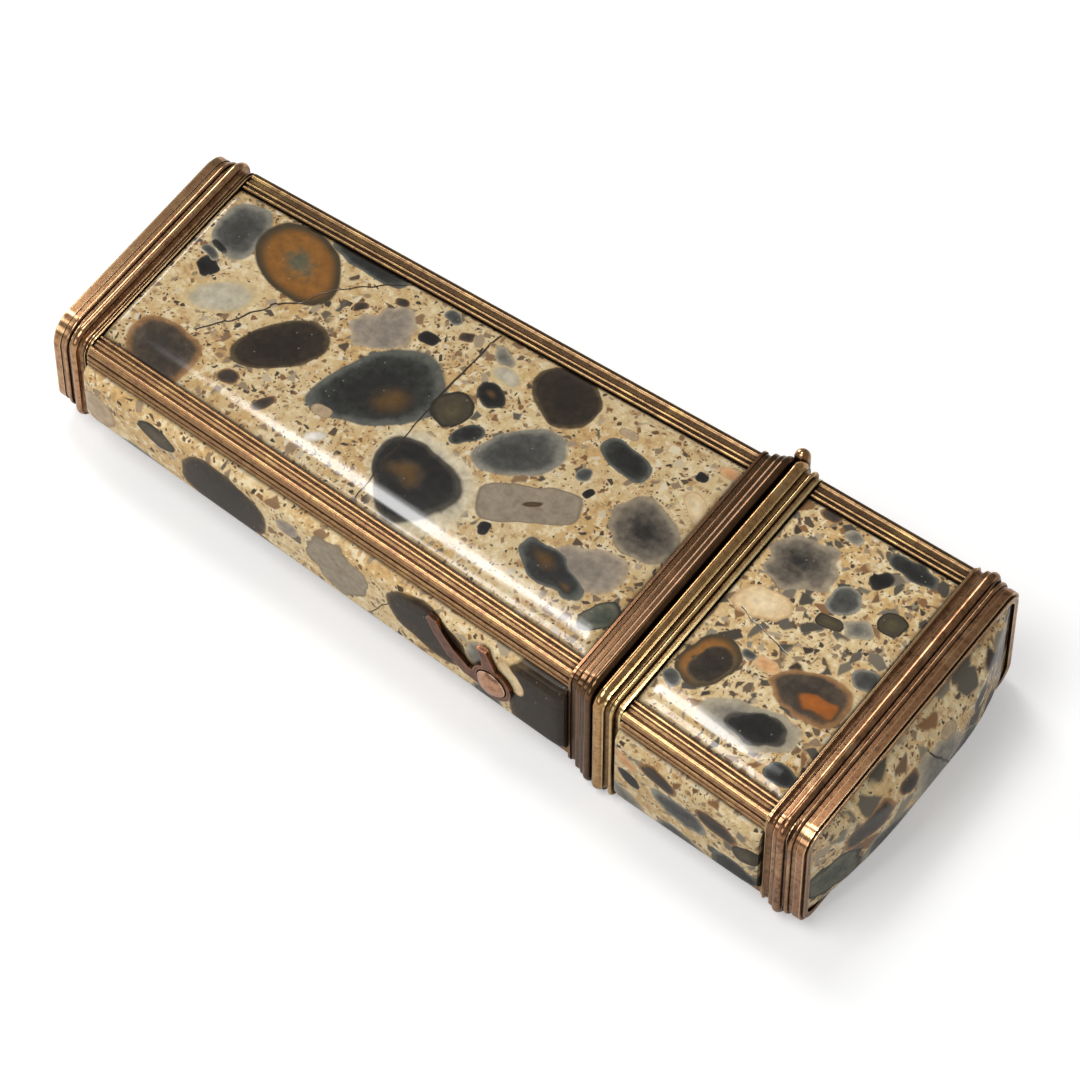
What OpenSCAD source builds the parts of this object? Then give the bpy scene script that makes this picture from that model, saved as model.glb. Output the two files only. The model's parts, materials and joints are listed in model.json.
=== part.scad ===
// Agate etui: a tapering stone and gilt metal case for needlework tools, lying on its back.
// While a piece is modelled the joint between body and lid is at x = 0: the body runs to -X and the
// lid to +X. +Y is the hinge side, -Y the button side, and +Z the front face. lay_down() then puts
// the origin under the middle of the whole case.

/* [Case] */
// Length of the body, from the joint to the end of the base band
body_len = 69.6; // [64:0.1:78]
// Width over the corner strips at the joint, body side
mouth_w = 32.9; // [32:0.1:35]
// Thickness over the corner strips at the joint, body side
mouth_t = 15.6; // [15:0.1:17]
// How much narrower the case is at its base
base_narrow = 5.3; // [4.5:0.1:6.5]
// How much thinner the case is at its base
base_thin = 3.1; // [2.4:0.1:3.4]
// Length of the lid, from the joint to the end of its end band
lid_len = 25.9; // [25:0.1:32]
// How much wider the lid starts than the body ends
lid_step_w = 1.1; // [0.8:0.1:1.4]
// How much thicker the lid starts than the body ends
lid_step_t = 0.3; // [0.2:0.1:0.8]
// How much wider the lid gets towards its end
lid_flare = 2.0; // [1:0.1:3]
// How much thinner the lid gets towards its end
lid_thin = 0.9; // [0:0.1:1.2]
// Open joint between the two rims
joint_gap = 0.2; // [0.1:0.05:0.3]

/* [Stones] */
// Thickness of a stone, under the outer plane of the corner strips
stone_t = 1.8; // [1.6:0.1:2]
// How far the front and back stones stand above the corner strips
front_crown = 0.35; // [0:0.05:0.8]
// Width of the rounded shoulder along the edge of a front or back stone
front_shoulder = 3.4; // [1:0.1:4]
// How far the stones of the narrow sides stand out past the corner strips
side_crown = 1.1; // [0.4:0.05:1.3]
// Width of the rounded shoulder along the edge of a side stone
side_shoulder = 1.5; // [1:0.1:2.6]
// Length of the rounded shoulder at each end of a stone
end_shoulder = 1.6; // [0.6:0.1:3]
// How far a stone's face drops towards its ends
end_drop = 0.4; // [0.1:0.05:0.6]
// Thickness of the end stones inside their bands
end_stone_t = 1.6; // [1.4:0.1:2]
// Bulge of the base stone
base_bulge = 0.3; // [0.2:0.1:1.5]
// Bulge of the stone in the lid's end
lid_bulge = 2.9; // [1:0.1:4]
// Gap between a stone and the metal round it
stone_gap = 0.08; // [0.05:0.01:0.12]

/* [Metalwork] */
// Width of a corner strip on the front or back face
strip_front = 2.7; // [2.5:0.1:3]
// Width of a corner strip on the narrow side
strip_side = 2.1; // [2:0.1:2.4]
// How far a strip's side leg leans out from the corner to its lower edge
strip_lean = 0.3; // [0:0.05:0.5]
// Diameter of the fine reeds on a corner strip
reed_d = 0.5; // [0.44:0.02:0.54]
// Radius of the broad bead along the corner
corner_bead_r = 0.55; // [0.45:0.05:0.6]
// How far the stones run in under the strips' lips
lip_tuck = 0.5; // [0.4:0.05:0.55]
// Length of the body's rim
body_rim_len = 3.3; // [3.1:0.1:3.8]
// Length of the lid's rim
lid_rim_len = 3.2; // [3.1:0.1:3.8]
// How far the body rim's bead stands above the body's corner strips
rim_proud = 1.4; // [1.3:0.05:1.6]
// How far the lid rim's bead stands above the lid's corner strips
lid_rim_proud = 1.05; // [0.95:0.05:1.2]
// Corner radius of the two rims, at the strips' plane
rim_corner_r = 0.9; // [0.6:0.1:1.2]
// Length of the base band
base_band_len = 4.5; // [4.4:0.1:5.2]
// Length of the lid's end band
end_band_len = 5.0; // [4.8:0.1:5.6]
// How far the bands' beads stand above the corner strips
band_proud = 1.0; // [0.9:0.05:1.3]
// How much less the rims and bands stand out on the narrow sides
frame_side_in = 0.5; // [0.3:0.05:0.6]
// Corner radius of the base band's inner members, at the strips' plane
base_inner_r = 1.3; // [0.9:0.1:1.6]
// Corner radius of the base band's outer members
base_corner_r = 2.2; // [1.4:0.1:2.6]
// Corner radius of the end band's inner members, at the strips' plane
end_inner_r = 1.0; // [0.8:0.1:1.4]
// Corner radius of the end band's outer members
end_corner_r = 1.8; // [1.2:0.1:2.4]
// Wall of the sheet metal linings
lining_t = 0.5; // [0.45:0.05:0.6]
// Cement bed between a stone and the lining
cement_t = 0.1; // [0.05:0.05:0.15]
// Wall of the collar that guides the lid
collar_t = 0.45; // [0.4:0.05:0.5]
// How far the collar stands out of the body
collar_proud = 3.0; // [2.8:0.1:3.4]
// How deep the collar reaches into the body
collar_depth = 9.0; // [7:0.5:9]

/* [Hinge] */
// Radius of the hinge barrel
barrel_r = 0.85; // [0.75:0.05:0.95]
// Half the length of the hinge barrel
barrel_half = 7.6; // [6.5:0.1:8]
// Radius of the hinge pin
pin_r = 0.4; // [0.3:0.05:0.45]
// Radial running clearance of the pin
pin_fit = 0.05; // [0.02:0.01:0.08]
// Gap between neighbouring knuckles
knuckle_gap = 0.1; // [0.05:0.05:0.2]
// Radial clearance round the knuckles of the other half
swing_gap = 0.15; // [0.1:0.05:0.2]

/* [Catch] */
// Distance of the button from the joint
button_back = 11.7; // [11.2:0.1:13]
// Radius of the button's head
button_r = 1.75; // [1.5:0.05:1.85]
// How far the button's face stands out past the corner strips
button_proud = 2.4; // [2.2:0.05:2.6]
// Thickness of the button's head
button_head_t = 0.85; // [0.7:0.05:1]
// Radius of the button's domed face
button_dome_r = 2.6; // [2.2:0.1:5]
// Radius of the button's stem
stem_r = 0.9; // [0.7:0.05:1]
// Radial clearance of the stem in the stone and the lining
stem_fit = 0.15; // [0.1:0.05:0.2]
// Travel of the button
button_travel = 0.6; // [0.5:0.1:0.7]
// Thickness of the gilt mount round the button
mount_t = 0.5; // [0.25:0.05:0.6]
// Length of the catch spring, from its root to the button
spring_root = 26; // [24:0.5:27]
// Thickness of the catch spring
spring_t = 0.4; // [0.3:0.05:0.45]
// Width of the catch spring
spring_w = 5; // [4:0.1:5.4]
// Radius of the eye at the catch spring's root
eye_r = 0.6; // [0.5:0.05:0.7]
// How far the nib enters the lid's slot
nib_bite = 0.35; // [0.25:0.05:0.4]
// Length of the nib along the case
nib_len = 1.3; // [1:0.1:1.5]
// Width of the nib
nib_w = 2.4; // [2:0.1:3]

/* [Tools] */
// How far the tools' heads stand out of the body
head_out = 7.5; // [6:0.5:8]
// How far down the tools reach from the joint
tool_reach = 58; // [50:1:60]
// How far down the handles reach from the joint
handle_reach = 20; // [16:1:24]
// Clearance of a tool in its pocket
pocket_fit = 0.25; // [0.2:0.05:0.3]
// Width of the penknife's handle
knife_w = 6.8; // [6:0.1:7]
// Thickness of the penknife's handle
knife_t = 3.2; // [2.8:0.1:3.4]
// Width of the penknife's blade
blade_w = 4.4; // [3.8:0.1:4.8]
// Thickness of the penknife's blade
blade_t = 0.9; // [0.7:0.05:1]
// Width of the bodkin's head
bodkin_w = 3.6; // [3.2:0.1:3.8]
// Thickness of the bodkin
bodkin_t = 0.9; // [0.8:0.05:1.2]
// Width of the tweezers
tweezer_w = 3.8; // [3.4:0.1:4]
// Spread of the tweezers at their open ends
tweezer_spread = 3.4; // [3:0.1:3.8]
// Thickness of a leaf of the tweezers
tweezer_t = 0.45; // [0.35:0.05:0.5]
// Radius of the stiletto's handle
stiletto_r = 1.7; // [1.5:0.1:1.8]
// Radius of the stiletto's spike
spike_r = 0.85; // [0.7:0.05:0.9]

/* [Hidden] */
$fn = 32;

gilt = [0.62, 0.45, 0.3];
pale_gilt = [0.74, 0.6, 0.38];
agate = [0.78, 0.69, 0.53];
steel = [0.6, 0.61, 0.62];
ivory = [0.9, 0.86, 0.74];
cedar = [0.5, 0.3, 0.18];

// Sizes over the corner strips at the two ends
base_w = mouth_w - base_narrow;
base_t = mouth_t - base_thin;
lid_top_w = mouth_w + lid_step_w + lid_flare;
lid_top_t = mouth_t + lid_step_t - lid_thin;

// Depths under the corner strips' outer plane
seat = stone_t + cement_t;
cavity = seat + lining_t;
solder_gap = 0.03;
slide_gap = 0.03;
strip_depth = seat - solder_gap;
collar_in = cavity + slide_gap + collar_t;

// Details of the corner strips and of the rounded forms
reed_r = reed_d / 2;
reed_pitch = reed_d + 0.08;
groove_d = 0.2;
lip_bevel = 0.5;
member_root = 0.4;
band_outer_len = 2.3;
frame_in = [frame_side_in, 0];
end_stone_rim = 0.12;
end_lip = 0.5;
lip_t = 0.7;
end_bevel = 0.3;
dome_base = 0.3;
arc_steps = 6;
end_steps = 3;
dome_steps = 7;

// Places along the case
body_x0 = -body_len + base_band_len + stone_gap;
body_x1 = -body_rim_len - stone_gap;
lid_x0 = lid_rim_len + stone_gap;
lid_x1 = lid_len - end_band_len - stone_gap;
body_floor = -body_len + end_stone_t + cement_t;
lid_floor = lid_len - end_stone_t - cement_t;
block_top = -collar_depth - slide_gap;
block_floor = body_floor + lining_t + slide_gap;
tool_end = -tool_reach;
handle_end = -handle_reach;

// Hinge
hinge_y = mouth_w / 2 + rim_proud;
knuckles = 5;
knuckle_len = (2 * barrel_half - (knuckles - 1) * knuckle_gap) / knuckles;

// Catch, in the plane of the body's button side
wall_angle = atan((mouth_w - base_w) / 2 / body_len);
spring_top = collar_in + 0.12;
eye_depth = spring_top + eye_r - 0.15;
eye_pin_r = 0.28;
root_x = -button_back - spring_root;
lug_t = 0.5;
lug_gap = 0.15;
nib_x = 1.0;
slot_margin = 0.25;
nib_tip = cavity - lid_step_w / 2 - nib_bite;
head_bore = button_r + 0.15;
head_base = -button_proud + button_head_t;
mount_r = button_r + 0.65;
flange_r = stem_r + 0.45;
flange_t = 0.3;
channel_w = spring_w + 2.4;
channel_depth = spring_top + spring_t + 1.5;

// Tools, by their place across the case
tool_row = mouth_w / 2 - collar_in;
knife_y = 0.287 * tool_row;
bodkin_y = -0.184 * tool_row;
tweezer_y = -0.538 * tool_row;
stiletto_y = 0.744 * tool_row;
tang_w = 3;
tang_len = 8;
spike_seat = 9;
point_len = 9;
tang_x = handle_end + tang_len;
spike_in = handle_end + spike_seat;

// Half width and half thickness over the corner strips, at x
function body_half(x) = [
    (mouth_w + (mouth_w - base_w) * x / body_len) / 2,
    (mouth_t + (mouth_t - base_t) * x / body_len) / 2
];
function lid_half(x) = [
    (mouth_w + lid_step_w + (lid_top_w - mouth_w - lid_step_w) * x / lid_len) / 2,
    (mouth_t + lid_step_t + (lid_top_t - mouth_t - lid_step_t) * x / lid_len) / 2
];
function half(x, lid) = lid ? lid_half(x) : body_half(x);

// Puts the case on its back, with the origin under its middle
module lay_down() {
    left = body_len + base_bulge;
    right = lid_len + lid_bulge;
    translate([(left - right) / 2, 0, mouth_t / 2 + rim_proud]) children();
}

// Solid through rings of points. Each ring runs anticlockwise seen from the end of the solid.
module loft(rings) {
    n = len(rings[0]);
    last = (len(rings) - 1) * n;
    sides = [
        for (j = [0:len(rings) - 2], i = [0:n - 1])
            [j * n + i, (j + 1) * n + i, (j + 1) * n + (i + 1) % n, j * n + (i + 1) % n]
    ];
    caps = [[for (i = [0:n - 1]) i], [for (i = [n - 1:-1:0]) last + i]];
    polyhedron(points = [for (ring = rings, p = ring) p], faces = concat(sides, caps));
}

// Rectangle round the case's axis at x
function box_ring(x, h) = [[x, h[0], -h[1]], [x, h[0], h[1]], [x, -h[0], h[1]], [x, -h[0], -h[1]]];

// Rectangle at x with round corners of radius r
function round_ring(x, h, r) = [
    for (q = [0:3], i = [0:arc_steps])
        let (a = 90 * q + 90 * i / arc_steps, sy = q == 0 || q == 3 ? 1 : -1, sz = q < 2 ? 1 : -1)
        [x, sy * (h[0] - r) + r * cos(a), sz * (h[1] - r) + r * sin(a)]
];

// Outline of a stone across its length: a bevelled edge under the lips, then a shoulder to the crown.
// Points are [across, height over the strips' plane].
function stone_outline(h, crown, shoulder) = concat(
    [[h + lip_tuck, -stone_t], [h + lip_tuck, -reed_d - lip_bevel]],
    [for (i = [0:arc_steps])
        [h - shoulder * (1 - cos(90 * i / arc_steps)), -reed_d + (crown + reed_d) * sin(90 * i / arc_steps)]],
    [for (i = [0:arc_steps])
        [-h + shoulder * (1 - sin(90 * i / arc_steps)), -reed_d + (crown + reed_d) * cos(90 * i / arc_steps)]],
    [[-h - lip_tuck, -reed_d - lip_bevel], [-h - lip_tuck, -stone_t]]
);

// Stone between two stations, its face towards +Z, g prouder than it is. A narrow one fills a narrow
// side of the case.
module stone(x0, x1, narrow, g = 0) {
    across = narrow ? 1 : 0;
    strip = narrow ? strip_side : strip_front;
    crown = (narrow ? side_crown : front_crown) + g;
    shoulder = narrow ? side_shoulder : front_shoulder;
    ends = [
        for (i = [0:end_steps]) [x0 + end_shoulder * (1 - cos(90 * i / end_steps)), 1 - sin(90 * i / end_steps)],
        for (i = [end_steps:-1:0]) [x1 - end_shoulder * (1 - cos(90 * i / end_steps)), 1 - sin(90 * i / end_steps)]
    ];
    color(agate) loft([
        for (e = ends)
            let (h = half(e[0], x0 > 0)[across] - strip - stone_gap, plane = half(e[0], x0 > 0)[1 - across])
            [for (p = stone_outline(h, crown - end_drop * e[1], shoulder)) [e[0], p[0], plane + p[1]]]
    ]);
}

// Stone of one face: side is 0 front, 1 hinge side, 2 back, 3 button side
module body_stone(side) {
    rotate([-90 * side, 0, 0]) stone(body_x0, body_x1, side % 2 == 1);
}
module lid_stone(side) {
    rotate([-90 * side, 0, 0]) stone(lid_x0, lid_x1, side % 2 == 1);
}

// Corner strip between two stations, along the +Y +Z edge of the case
module strip(x0, x1) {
    start = half(x0, x0 > 0);
    rise = half(x1, x0 > 0) - start;
    run = x1 - x0;
    over = 1;
    intersection() {
        translate([x0, start[0], start[1]])
            rotate([0, -atan(rise[1] / run), atan(rise[0] / run)])
                rotate([90, 0, 90])
                    translate([0, 0, -over]) strip_bar(run + 2 * over);
        translate([x0, 0, 0]) cube([run, lid_top_w, lid_top_w]);
    }
}

// Bar of a corner strip's section, with the outer corner on the Z axis and the case towards -X and -Y
module strip_bar(run) {
    linear_extrude(height = run) polygon([
        [-strip_front + reed_r, -groove_d],
        [-strip_lean - corner_bead_r, -groove_d],
        [-strip_lean - groove_d, -corner_bead_r],
        [-groove_d, -strip_side + reed_r],
        [-reed_d, -strip_side + reed_r],
        [-reed_d - lip_bevel, -strip_side + lip_tuck],
        [-strip_depth, -strip_side + lip_tuck],
        [-strip_depth, -strip_depth],
        [-strip_front + lip_tuck, -strip_depth],
        [-strip_front + lip_tuck, -reed_d - lip_bevel],
        [-strip_front + reed_r, -reed_d]
    ]);
    for (k = [0, 1]) {
        down = strip_side - reed_r - k * reed_pitch;
        translate([-strip_front + reed_r + k * reed_pitch, -reed_r, 0]) cylinder(r = reed_r, h = run);
        translate([-reed_r - strip_lean * (1 - down / strip_side), -down, 0]) cylinder(r = reed_r, h = run);
    }
    translate([-strip_lean - corner_bead_r, -corner_bead_r, 0]) cylinder(r = corner_bead_r, h = run);
}

module corner_strip(x0, x1, back, button) {
    color(pale_gilt) mirror([0, button ? 1 : 0, 0]) mirror([0, 0, back ? 1 : 0]) strip(x0, x1);
}

// Frame of half sizes h swept round the case's axis, with corners of radius r. The child is the half
// section, in [height over the strips' plane, place].
module swept_frame(h, length, r) {
    yc = h[0] - r;
    zc = h[1] - r;
    for (sy = [0, 1], sz = [0, 1]) mirror([0, sy, 0]) mirror([0, 0, sz])
        translate([0, yc, zc]) rotate([0, 90, 0]) rotate([0, 0, 90])
            rotate_extrude(angle = 90) moulding(r, length) children();
    for (a = [0, 180]) rotate([a, 0, 0]) {
        translate([0, 0, zc]) rotate([-90, 0, 0]) rotate([0, 0, -90])
            linear_extrude(height = 2 * yc, center = true) moulding(r, length) children();
        translate([0, yc, 0]) rotate([180, 0, 90])
            linear_extrude(height = 2 * zc, center = true) moulding(r, length) children();
    }
    translate([0, -yc, -zc]) cube([length, 2 * yc, 2 * zc]);
}
// Section at distance r from its centre, on a core that reaches back to the centre
module moulding(r, length) {
    translate([r, 0]) children();
    square([r, length]);
}

// Members of a moulding. A bead's crest and a flat stand p over the strips' plane, a hollow's floor too.
module bead(v, p, r) {
    translate([p - r, v]) circle(r);
    translate([-member_root, v - r]) square([member_root + p - r, 2 * r]);
}
module flat(v0, v1, p) {
    translate([-member_root, v0]) square([member_root + p, v1 - v0]);
}
module hollow(v, p, r) {
    translate([p + r, v]) circle(r);
}

// Body rim, from the stones to the joint
module body_rim_section() {
    length = body_rim_len - joint_gap / 2;
    difference() {
        union() {
            flat(0, 0.25, 0.5);
            flat(0.2, length - 0.3, 0.35);
            flat(0.7, length - 0.3, 0.85);
            flat(1.6, length - 0.3, 1.1);
            bead(length - 0.5, rim_proud, 0.5);
        }
        hollow(0.7, 0.35, 0.45);
        hollow(1.55, 0.85, 0.42);
    }
}

// Lid rim, from the joint to the stones
module lid_rim_section() {
    length = lid_rim_len - joint_gap / 2;
    difference() {
        union() {
            bead(0.6, lid_rim_proud, 0.6);
            flat(0.6, length, 0.25);
            flat(1, length - 1, lid_rim_proud - 0.3);
            bead(length - 0.9, lid_rim_proud - 0.25, 0.2);
            flat(length - 0.25, length, 0.4);
        }
        hollow(length - 1.4, 0.3, 0.36);
        hollow(length - 0.46, 0.25, 0.24);
    }
}

// Inner members of the base and end bands, from the stones past the crest
module band_inner_section(length) {
    difference() {
        union() {
            flat(0, 0.25, 0.35);
            flat(0.2, length, 0.25);
            flat(0.25, length, band_proud - 0.45);
            flat(0.7, 1.8, band_proud - 0.3);
            bead(length - 0.65, band_proud, 0.55);
        }
        hollow(0.72, 0.25, 0.45);
    }
}

// Outer members of the bands, to the end of the case
module band_outer_section() {
    flat(0, band_outer_len, 0.25);
    flat(0, band_outer_len - 0.25, band_proud - 0.45);
    bead(0.45, band_proud - 0.15, 0.24);
    flat(band_outer_len - 1.1, band_outer_len - 0.25, band_proud - 0.35);
}

// Band round the case's end, its outer corners rounder than its inner ones
module band(h, length, inner_r, outer_r) {
    inner_len = length - band_outer_len;
    swept_frame(h, inner_len, inner_r) band_inner_section(inner_len);
    translate([inner_len, 0, 0]) swept_frame(h, band_outer_len, outer_r) band_outer_section();
}

// The lining's outer form, grown by g, between two stations
module lining_form(lid, x0, x1, g = 0) {
    loft([for (x = [x0, x1]) box_ring(x, half(x, lid) - [seat - g, seat - g])]);
}

// End stone towards +X in a band that ends at length. Its edge is held by the band's lip.
module end_stone(length, h, bulge, r) {
    edge = h - [end_stone_rim, end_stone_rim];
    mouth = h - [end_lip, end_lip];
    inner = [for (x = [length - end_stone_t, length - lip_t - end_bevel]) round_ring(x, edge, r)];
    neck = [round_ring(length - lip_t, mouth, r - 0.4)];
    dome = [
        for (k = [0:dome_steps])
            let (s = 1 - 0.9 * k / dome_steps)
            round_ring(length - dome_base + (bulge + dome_base) * (1 - s * s), s * mouth, s * (r - 0.4))
    ];
    color(agate) loft(concat(inner, neck, dome));
}
module base_stone() {
    mirror([1, 0, 0]) end_stone(body_len, body_half(-body_len) - frame_in, base_bulge, base_corner_r);
}
module lid_end_stone() {
    end_stone(lid_len, lid_half(lid_len) - frame_in, lid_bulge, end_corner_r);
}

// Room for an end stone in its band: a seat for its edge, and the mouth that it shows through
module end_stone_room(length, h, r) {
    edge = h - [end_stone_rim - stone_gap, end_stone_rim - stone_gap];
    mouth = h - [end_lip - stone_gap, end_lip - stone_gap];
    loft([for (x = [length - end_stone_t - 0.5, length - lip_t + stone_gap]) round_ring(x, edge, r)]);
    loft([for (x = [length - end_stone_t, length + 1]) round_ring(x, mouth, r - 0.4)]);
}

// Room for the hinge in a rim: a close seat for its own knuckles, swing room for the other half's
module hinge_room(own) {
    for (k = [0:knuckles - 1]) {
        round_gap = k % 2 == own ? solder_gap : swing_gap;
        end_gap = k % 2 == own ? solder_gap : knuckle_gap;
        translate([0, hinge_y, knuckle_z(k) - end_gap])
            cylinder(r = barrel_r + round_gap, h = knuckle_len + 2 * end_gap);
    }
    for (s = [0, 1]) mirror([0, 0, s]) translate([0, hinge_y, barrel_half - solder_gap])
        cylinder(r = barrel_r + swing_gap, h = barrel_r + swing_gap + 2 * solder_gap);
}
function knuckle_z(k) = -barrel_half + k * (knuckle_len + knuckle_gap);

module body_rim() {
    color(gilt) difference() {
        translate([-body_rim_len, 0, 0])
            swept_frame(body_half(0) - frame_in, body_rim_len - joint_gap / 2, rim_corner_r) body_rim_section();
        lining_form(false, -body_rim_len - 1, 1, solder_gap);
        hinge_room(0);
    }
}

module lid_rim() {
    color(gilt) difference() {
        translate([joint_gap / 2, 0, 0])
            swept_frame(lid_half(0) - frame_in, lid_rim_len - joint_gap / 2, rim_corner_r) lid_rim_section();
        lining_form(true, -1, lid_rim_len + 1, solder_gap);
        hinge_room(1);
    }
}

module base_band() {
    h = body_half(-body_len) - frame_in;
    color(gilt) difference() {
        translate([-body_len + base_band_len, 0, 0]) mirror([1, 0, 0])
            band(h, base_band_len, base_inner_r, base_corner_r);
        lining_form(false, body_floor - 0.5, -body_len + base_band_len + 1, solder_gap);
        mirror([1, 0, 0]) end_stone_room(body_len, h, base_corner_r);
    }
}

module lid_end_band() {
    h = lid_half(lid_len) - frame_in;
    color(gilt) difference() {
        translate([lid_len - end_band_len, 0, 0]) band(h, end_band_len, end_inner_r, end_corner_r);
        lining_form(true, lid_len - end_band_len - 1, lid_floor + 0.5, solder_gap);
        end_stone_room(lid_len, h, end_corner_r);
    }
}

// Plane of the body's button side: X runs along the wall to the joint, Y inward from the strips' plane
module on_button_wall() {
    translate([0, -mouth_w / 2, 0]) rotate([0, 0, -wall_angle]) children();
}

// Cylinder through the button's side at the button, between two depths
module button_bore(r, d0, d1) {
    translate([-button_back, d0, 0]) rotate([-90, 0, 0]) cylinder(r = r, h = d1 - d0);
}

// Sheet metal box inside the body, closed at the base
module body_lining() {
    color(pale_gilt) difference() {
        lining_form(false, body_floor, -joint_gap / 2);
        lining_form(false, body_floor + lining_t, 1, -lining_t);
        on_button_wall() button_bore(stem_r + stem_fit, 0, cavity + 0.5);
    }
}

// Sheet metal box inside the lid, with the slot that the catch's nib enters
module lid_lining() {
    color(pale_gilt) difference() {
        lining_form(true, joint_gap / 2, lid_floor);
        lining_form(true, -1, lid_floor - lining_t, -lining_t);
        translate([nib_x - slot_margin, -mouth_w, -nib_w / 2 - slot_margin])
            cube([nib_len + 2 * slot_margin, mouth_w, nib_w + 2 * slot_margin]);
    }
}

// Form that follows the body's lining, then runs straight out of its mouth, d under the strips' plane
module collar_form(x0, x1, d) {
    loft([for (x = [x0, 0, x1]) box_ring(x, body_half(min(x, 0)) - [d, d])]);
}

// Collar inside the body's mouth, which the lid's lining slips over
module mouth_collar() {
    color(pale_gilt) difference() {
        collar_form(-collar_depth, collar_proud, cavity + slide_gap);
        collar_form(-collar_depth - 1, collar_proud + 1, collar_in);
        on_button_wall() translate([nib_x - 0.4, 0, -nib_w / 2 - slot_margin])
            cube([collar_proud, collar_in + 0.3, nib_w + 2 * slot_margin]);
    }
}

module body_button_stone() {
    difference() {
        body_stone(3);
        on_button_wall() {
            button_bore(head_bore, -side_crown - 1, head_base + button_travel + 0.2);
            button_bore(stem_r + stem_fit, -side_crown, seat + 1);
        }
    }
}

// Gilt mount round the button: a ring with two arms that lie on the stone. An arm's points are in
// radii of the button's head, from its middle.
module mount_arm(points) {
    translate([-button_back, -side_crown - solder_gap, 0]) rotate([90, 0, 0])
        linear_extrude(height = mount_t) polygon([for (p = points) button_r * p]);
}
module button_mount() {
    color(gilt) on_button_wall() difference() {
        union() {
            button_bore(mount_r, -side_crown - solder_gap - mount_t, -side_crown - solder_gap);
            mount_arm([
                [-4.5, 2.7], [-4.0, 2.55], [-3.45, 1.65], [-2.7, 0.75], [-1.65, 0.05], [-0.85, 0.1],
                [-0.85, -0.95], [-1.95, -0.85], [-3.2, -0.1], [-4.1, 1.15], [-4.7, 2.3]
            ]);
            mount_arm([[-1.05, 2.8], [-0.4, 2.8], [-0.05, 2.0], [0.35, 1.2], [-0.7, 1.2], [-0.75, 1.95]]);
        }
        button_bore(head_bore, -side_crown - mount_t - 1, cavity);
    }
}

// Button with a domed head outside and a stem that reaches through to the catch spring
module push_button() {
    stem_top = head_base - button_head_t / 2;
    color(gilt) on_button_wall() translate([-button_back, 0, 0]) rotate([-90, 0, 0]) {
        intersection() {
            translate([0, 0, -button_proud]) cylinder(r = button_r, h = button_head_t);
            translate([0, 0, -button_proud + button_dome_r]) sphere(r = button_dome_r, $fn = 64);
        }
        translate([0, 0, stem_top]) cylinder(r = stem_r, h = spring_top - slide_gap - stem_top);
        translate([0, 0, cavity + slide_gap]) cylinder(r = flange_r, h = flange_t);
    }
}

// Leaf spring behind the button, with an eye at its root and the nib that holds the lid
module catch_spring() {
    end_x = nib_x + nib_len;
    color(steel) on_button_wall() {
        difference() {
            union() {
                translate([root_x, spring_top, -spring_w / 2]) cube([end_x - root_x, spring_t, spring_w]);
                translate([root_x, eye_depth, -spring_w / 2]) cylinder(r = eye_r, h = spring_w);
            }
            translate([root_x, eye_depth, -spring_w]) cylinder(r = eye_pin_r + pin_fit, h = 2 * spring_w);
        }
        translate([0, 0, -nib_w / 2]) linear_extrude(height = nib_w) polygon([
            [nib_x, spring_top + spring_t / 2], [end_x, spring_top + spring_t / 2], [end_x, nib_tip + 0.9],
            [end_x - 0.5, nib_tip], [nib_x, nib_tip]
        ]);
    }
}

// Bracket on the lining that carries the spring's eye
module spring_bracket() {
    foot = cavity + solder_gap;
    plate_t = eye_depth - eye_r - 0.1 - foot;
    reach = spring_w / 2 + lug_gap;
    color(pale_gilt) on_button_wall() {
        translate([root_x - 2, foot, -reach - lug_t]) cube([4, plate_t, 2 * (reach + lug_t)]);
        for (s = [0, 1]) mirror([0, 0, s]) translate([root_x - 0.8, foot, reach])
            cube([1.6, eye_depth + eye_r - foot, lug_t]);
        translate([root_x, eye_depth, -reach - lug_t / 2]) cylinder(r = eye_pin_r, h = 2 * reach + lug_t);
    }
}

// Knuckles soldered to one half: own is 0 for the body and 1 for the lid
module knuckle_row(own) {
    color(gilt) for (k = [own:2:knuckles - 1]) translate([0, hinge_y, knuckle_z(k)]) difference() {
        cylinder(r = barrel_r, h = knuckle_len);
        translate([0, 0, -1]) cylinder(r = pin_r + pin_fit, h = knuckle_len + 2);
    }
}

// Hinge pin with a domed head at both ends
module hinge_pin() {
    color(pale_gilt) translate([0, hinge_y, 0]) {
        cylinder(r = pin_r, h = 2 * barrel_half + 0.2, center = true);
        for (s = [0, 1]) mirror([0, 0, s]) translate([0, 0, barrel_half + solder_gap])
            rotate_extrude() intersection() {
                circle(barrel_r);
                square([barrel_r, barrel_r]);
            }
    }
}

// Wooden block that fills the body and holds the tools, with a channel for the catch spring
module tool_block() {
    pocket_end = tool_end - 1;
    color(cedar) difference() {
        lining_form(false, block_floor, block_top, -lining_t - slide_gap);
        on_button_wall() translate([root_x - 3, 0, -channel_w / 2])
            cube([spring_root + button_back, channel_depth, channel_w]);
        pocket(knife_y, pocket_end, blade_w, blade_t);
        pocket(knife_y, handle_end - 1, knife_w, knife_t);
        pocket(bodkin_y, pocket_end, bodkin_w, bodkin_t);
        pocket(tweezer_y, pocket_end, tweezer_w, tweezer_spread);
        translate([pocket_end, stiletto_y, 0]) rotate([0, 90, 0]) cylinder(r = spike_r + pocket_fit, h = -pocket_end);
        translate([handle_end - 1, stiletto_y, 0]) rotate([0, 90, 0])
            cylinder(r = stiletto_r + pocket_fit, h = 1 - handle_end);
    }
}
module pocket(y, x0, w, t) {
    translate([x0, y - w / 2 - pocket_fit, -t / 2 - pocket_fit]) cube([-x0, w + 2 * pocket_fit, t + 2 * pocket_fit]);
}

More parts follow.
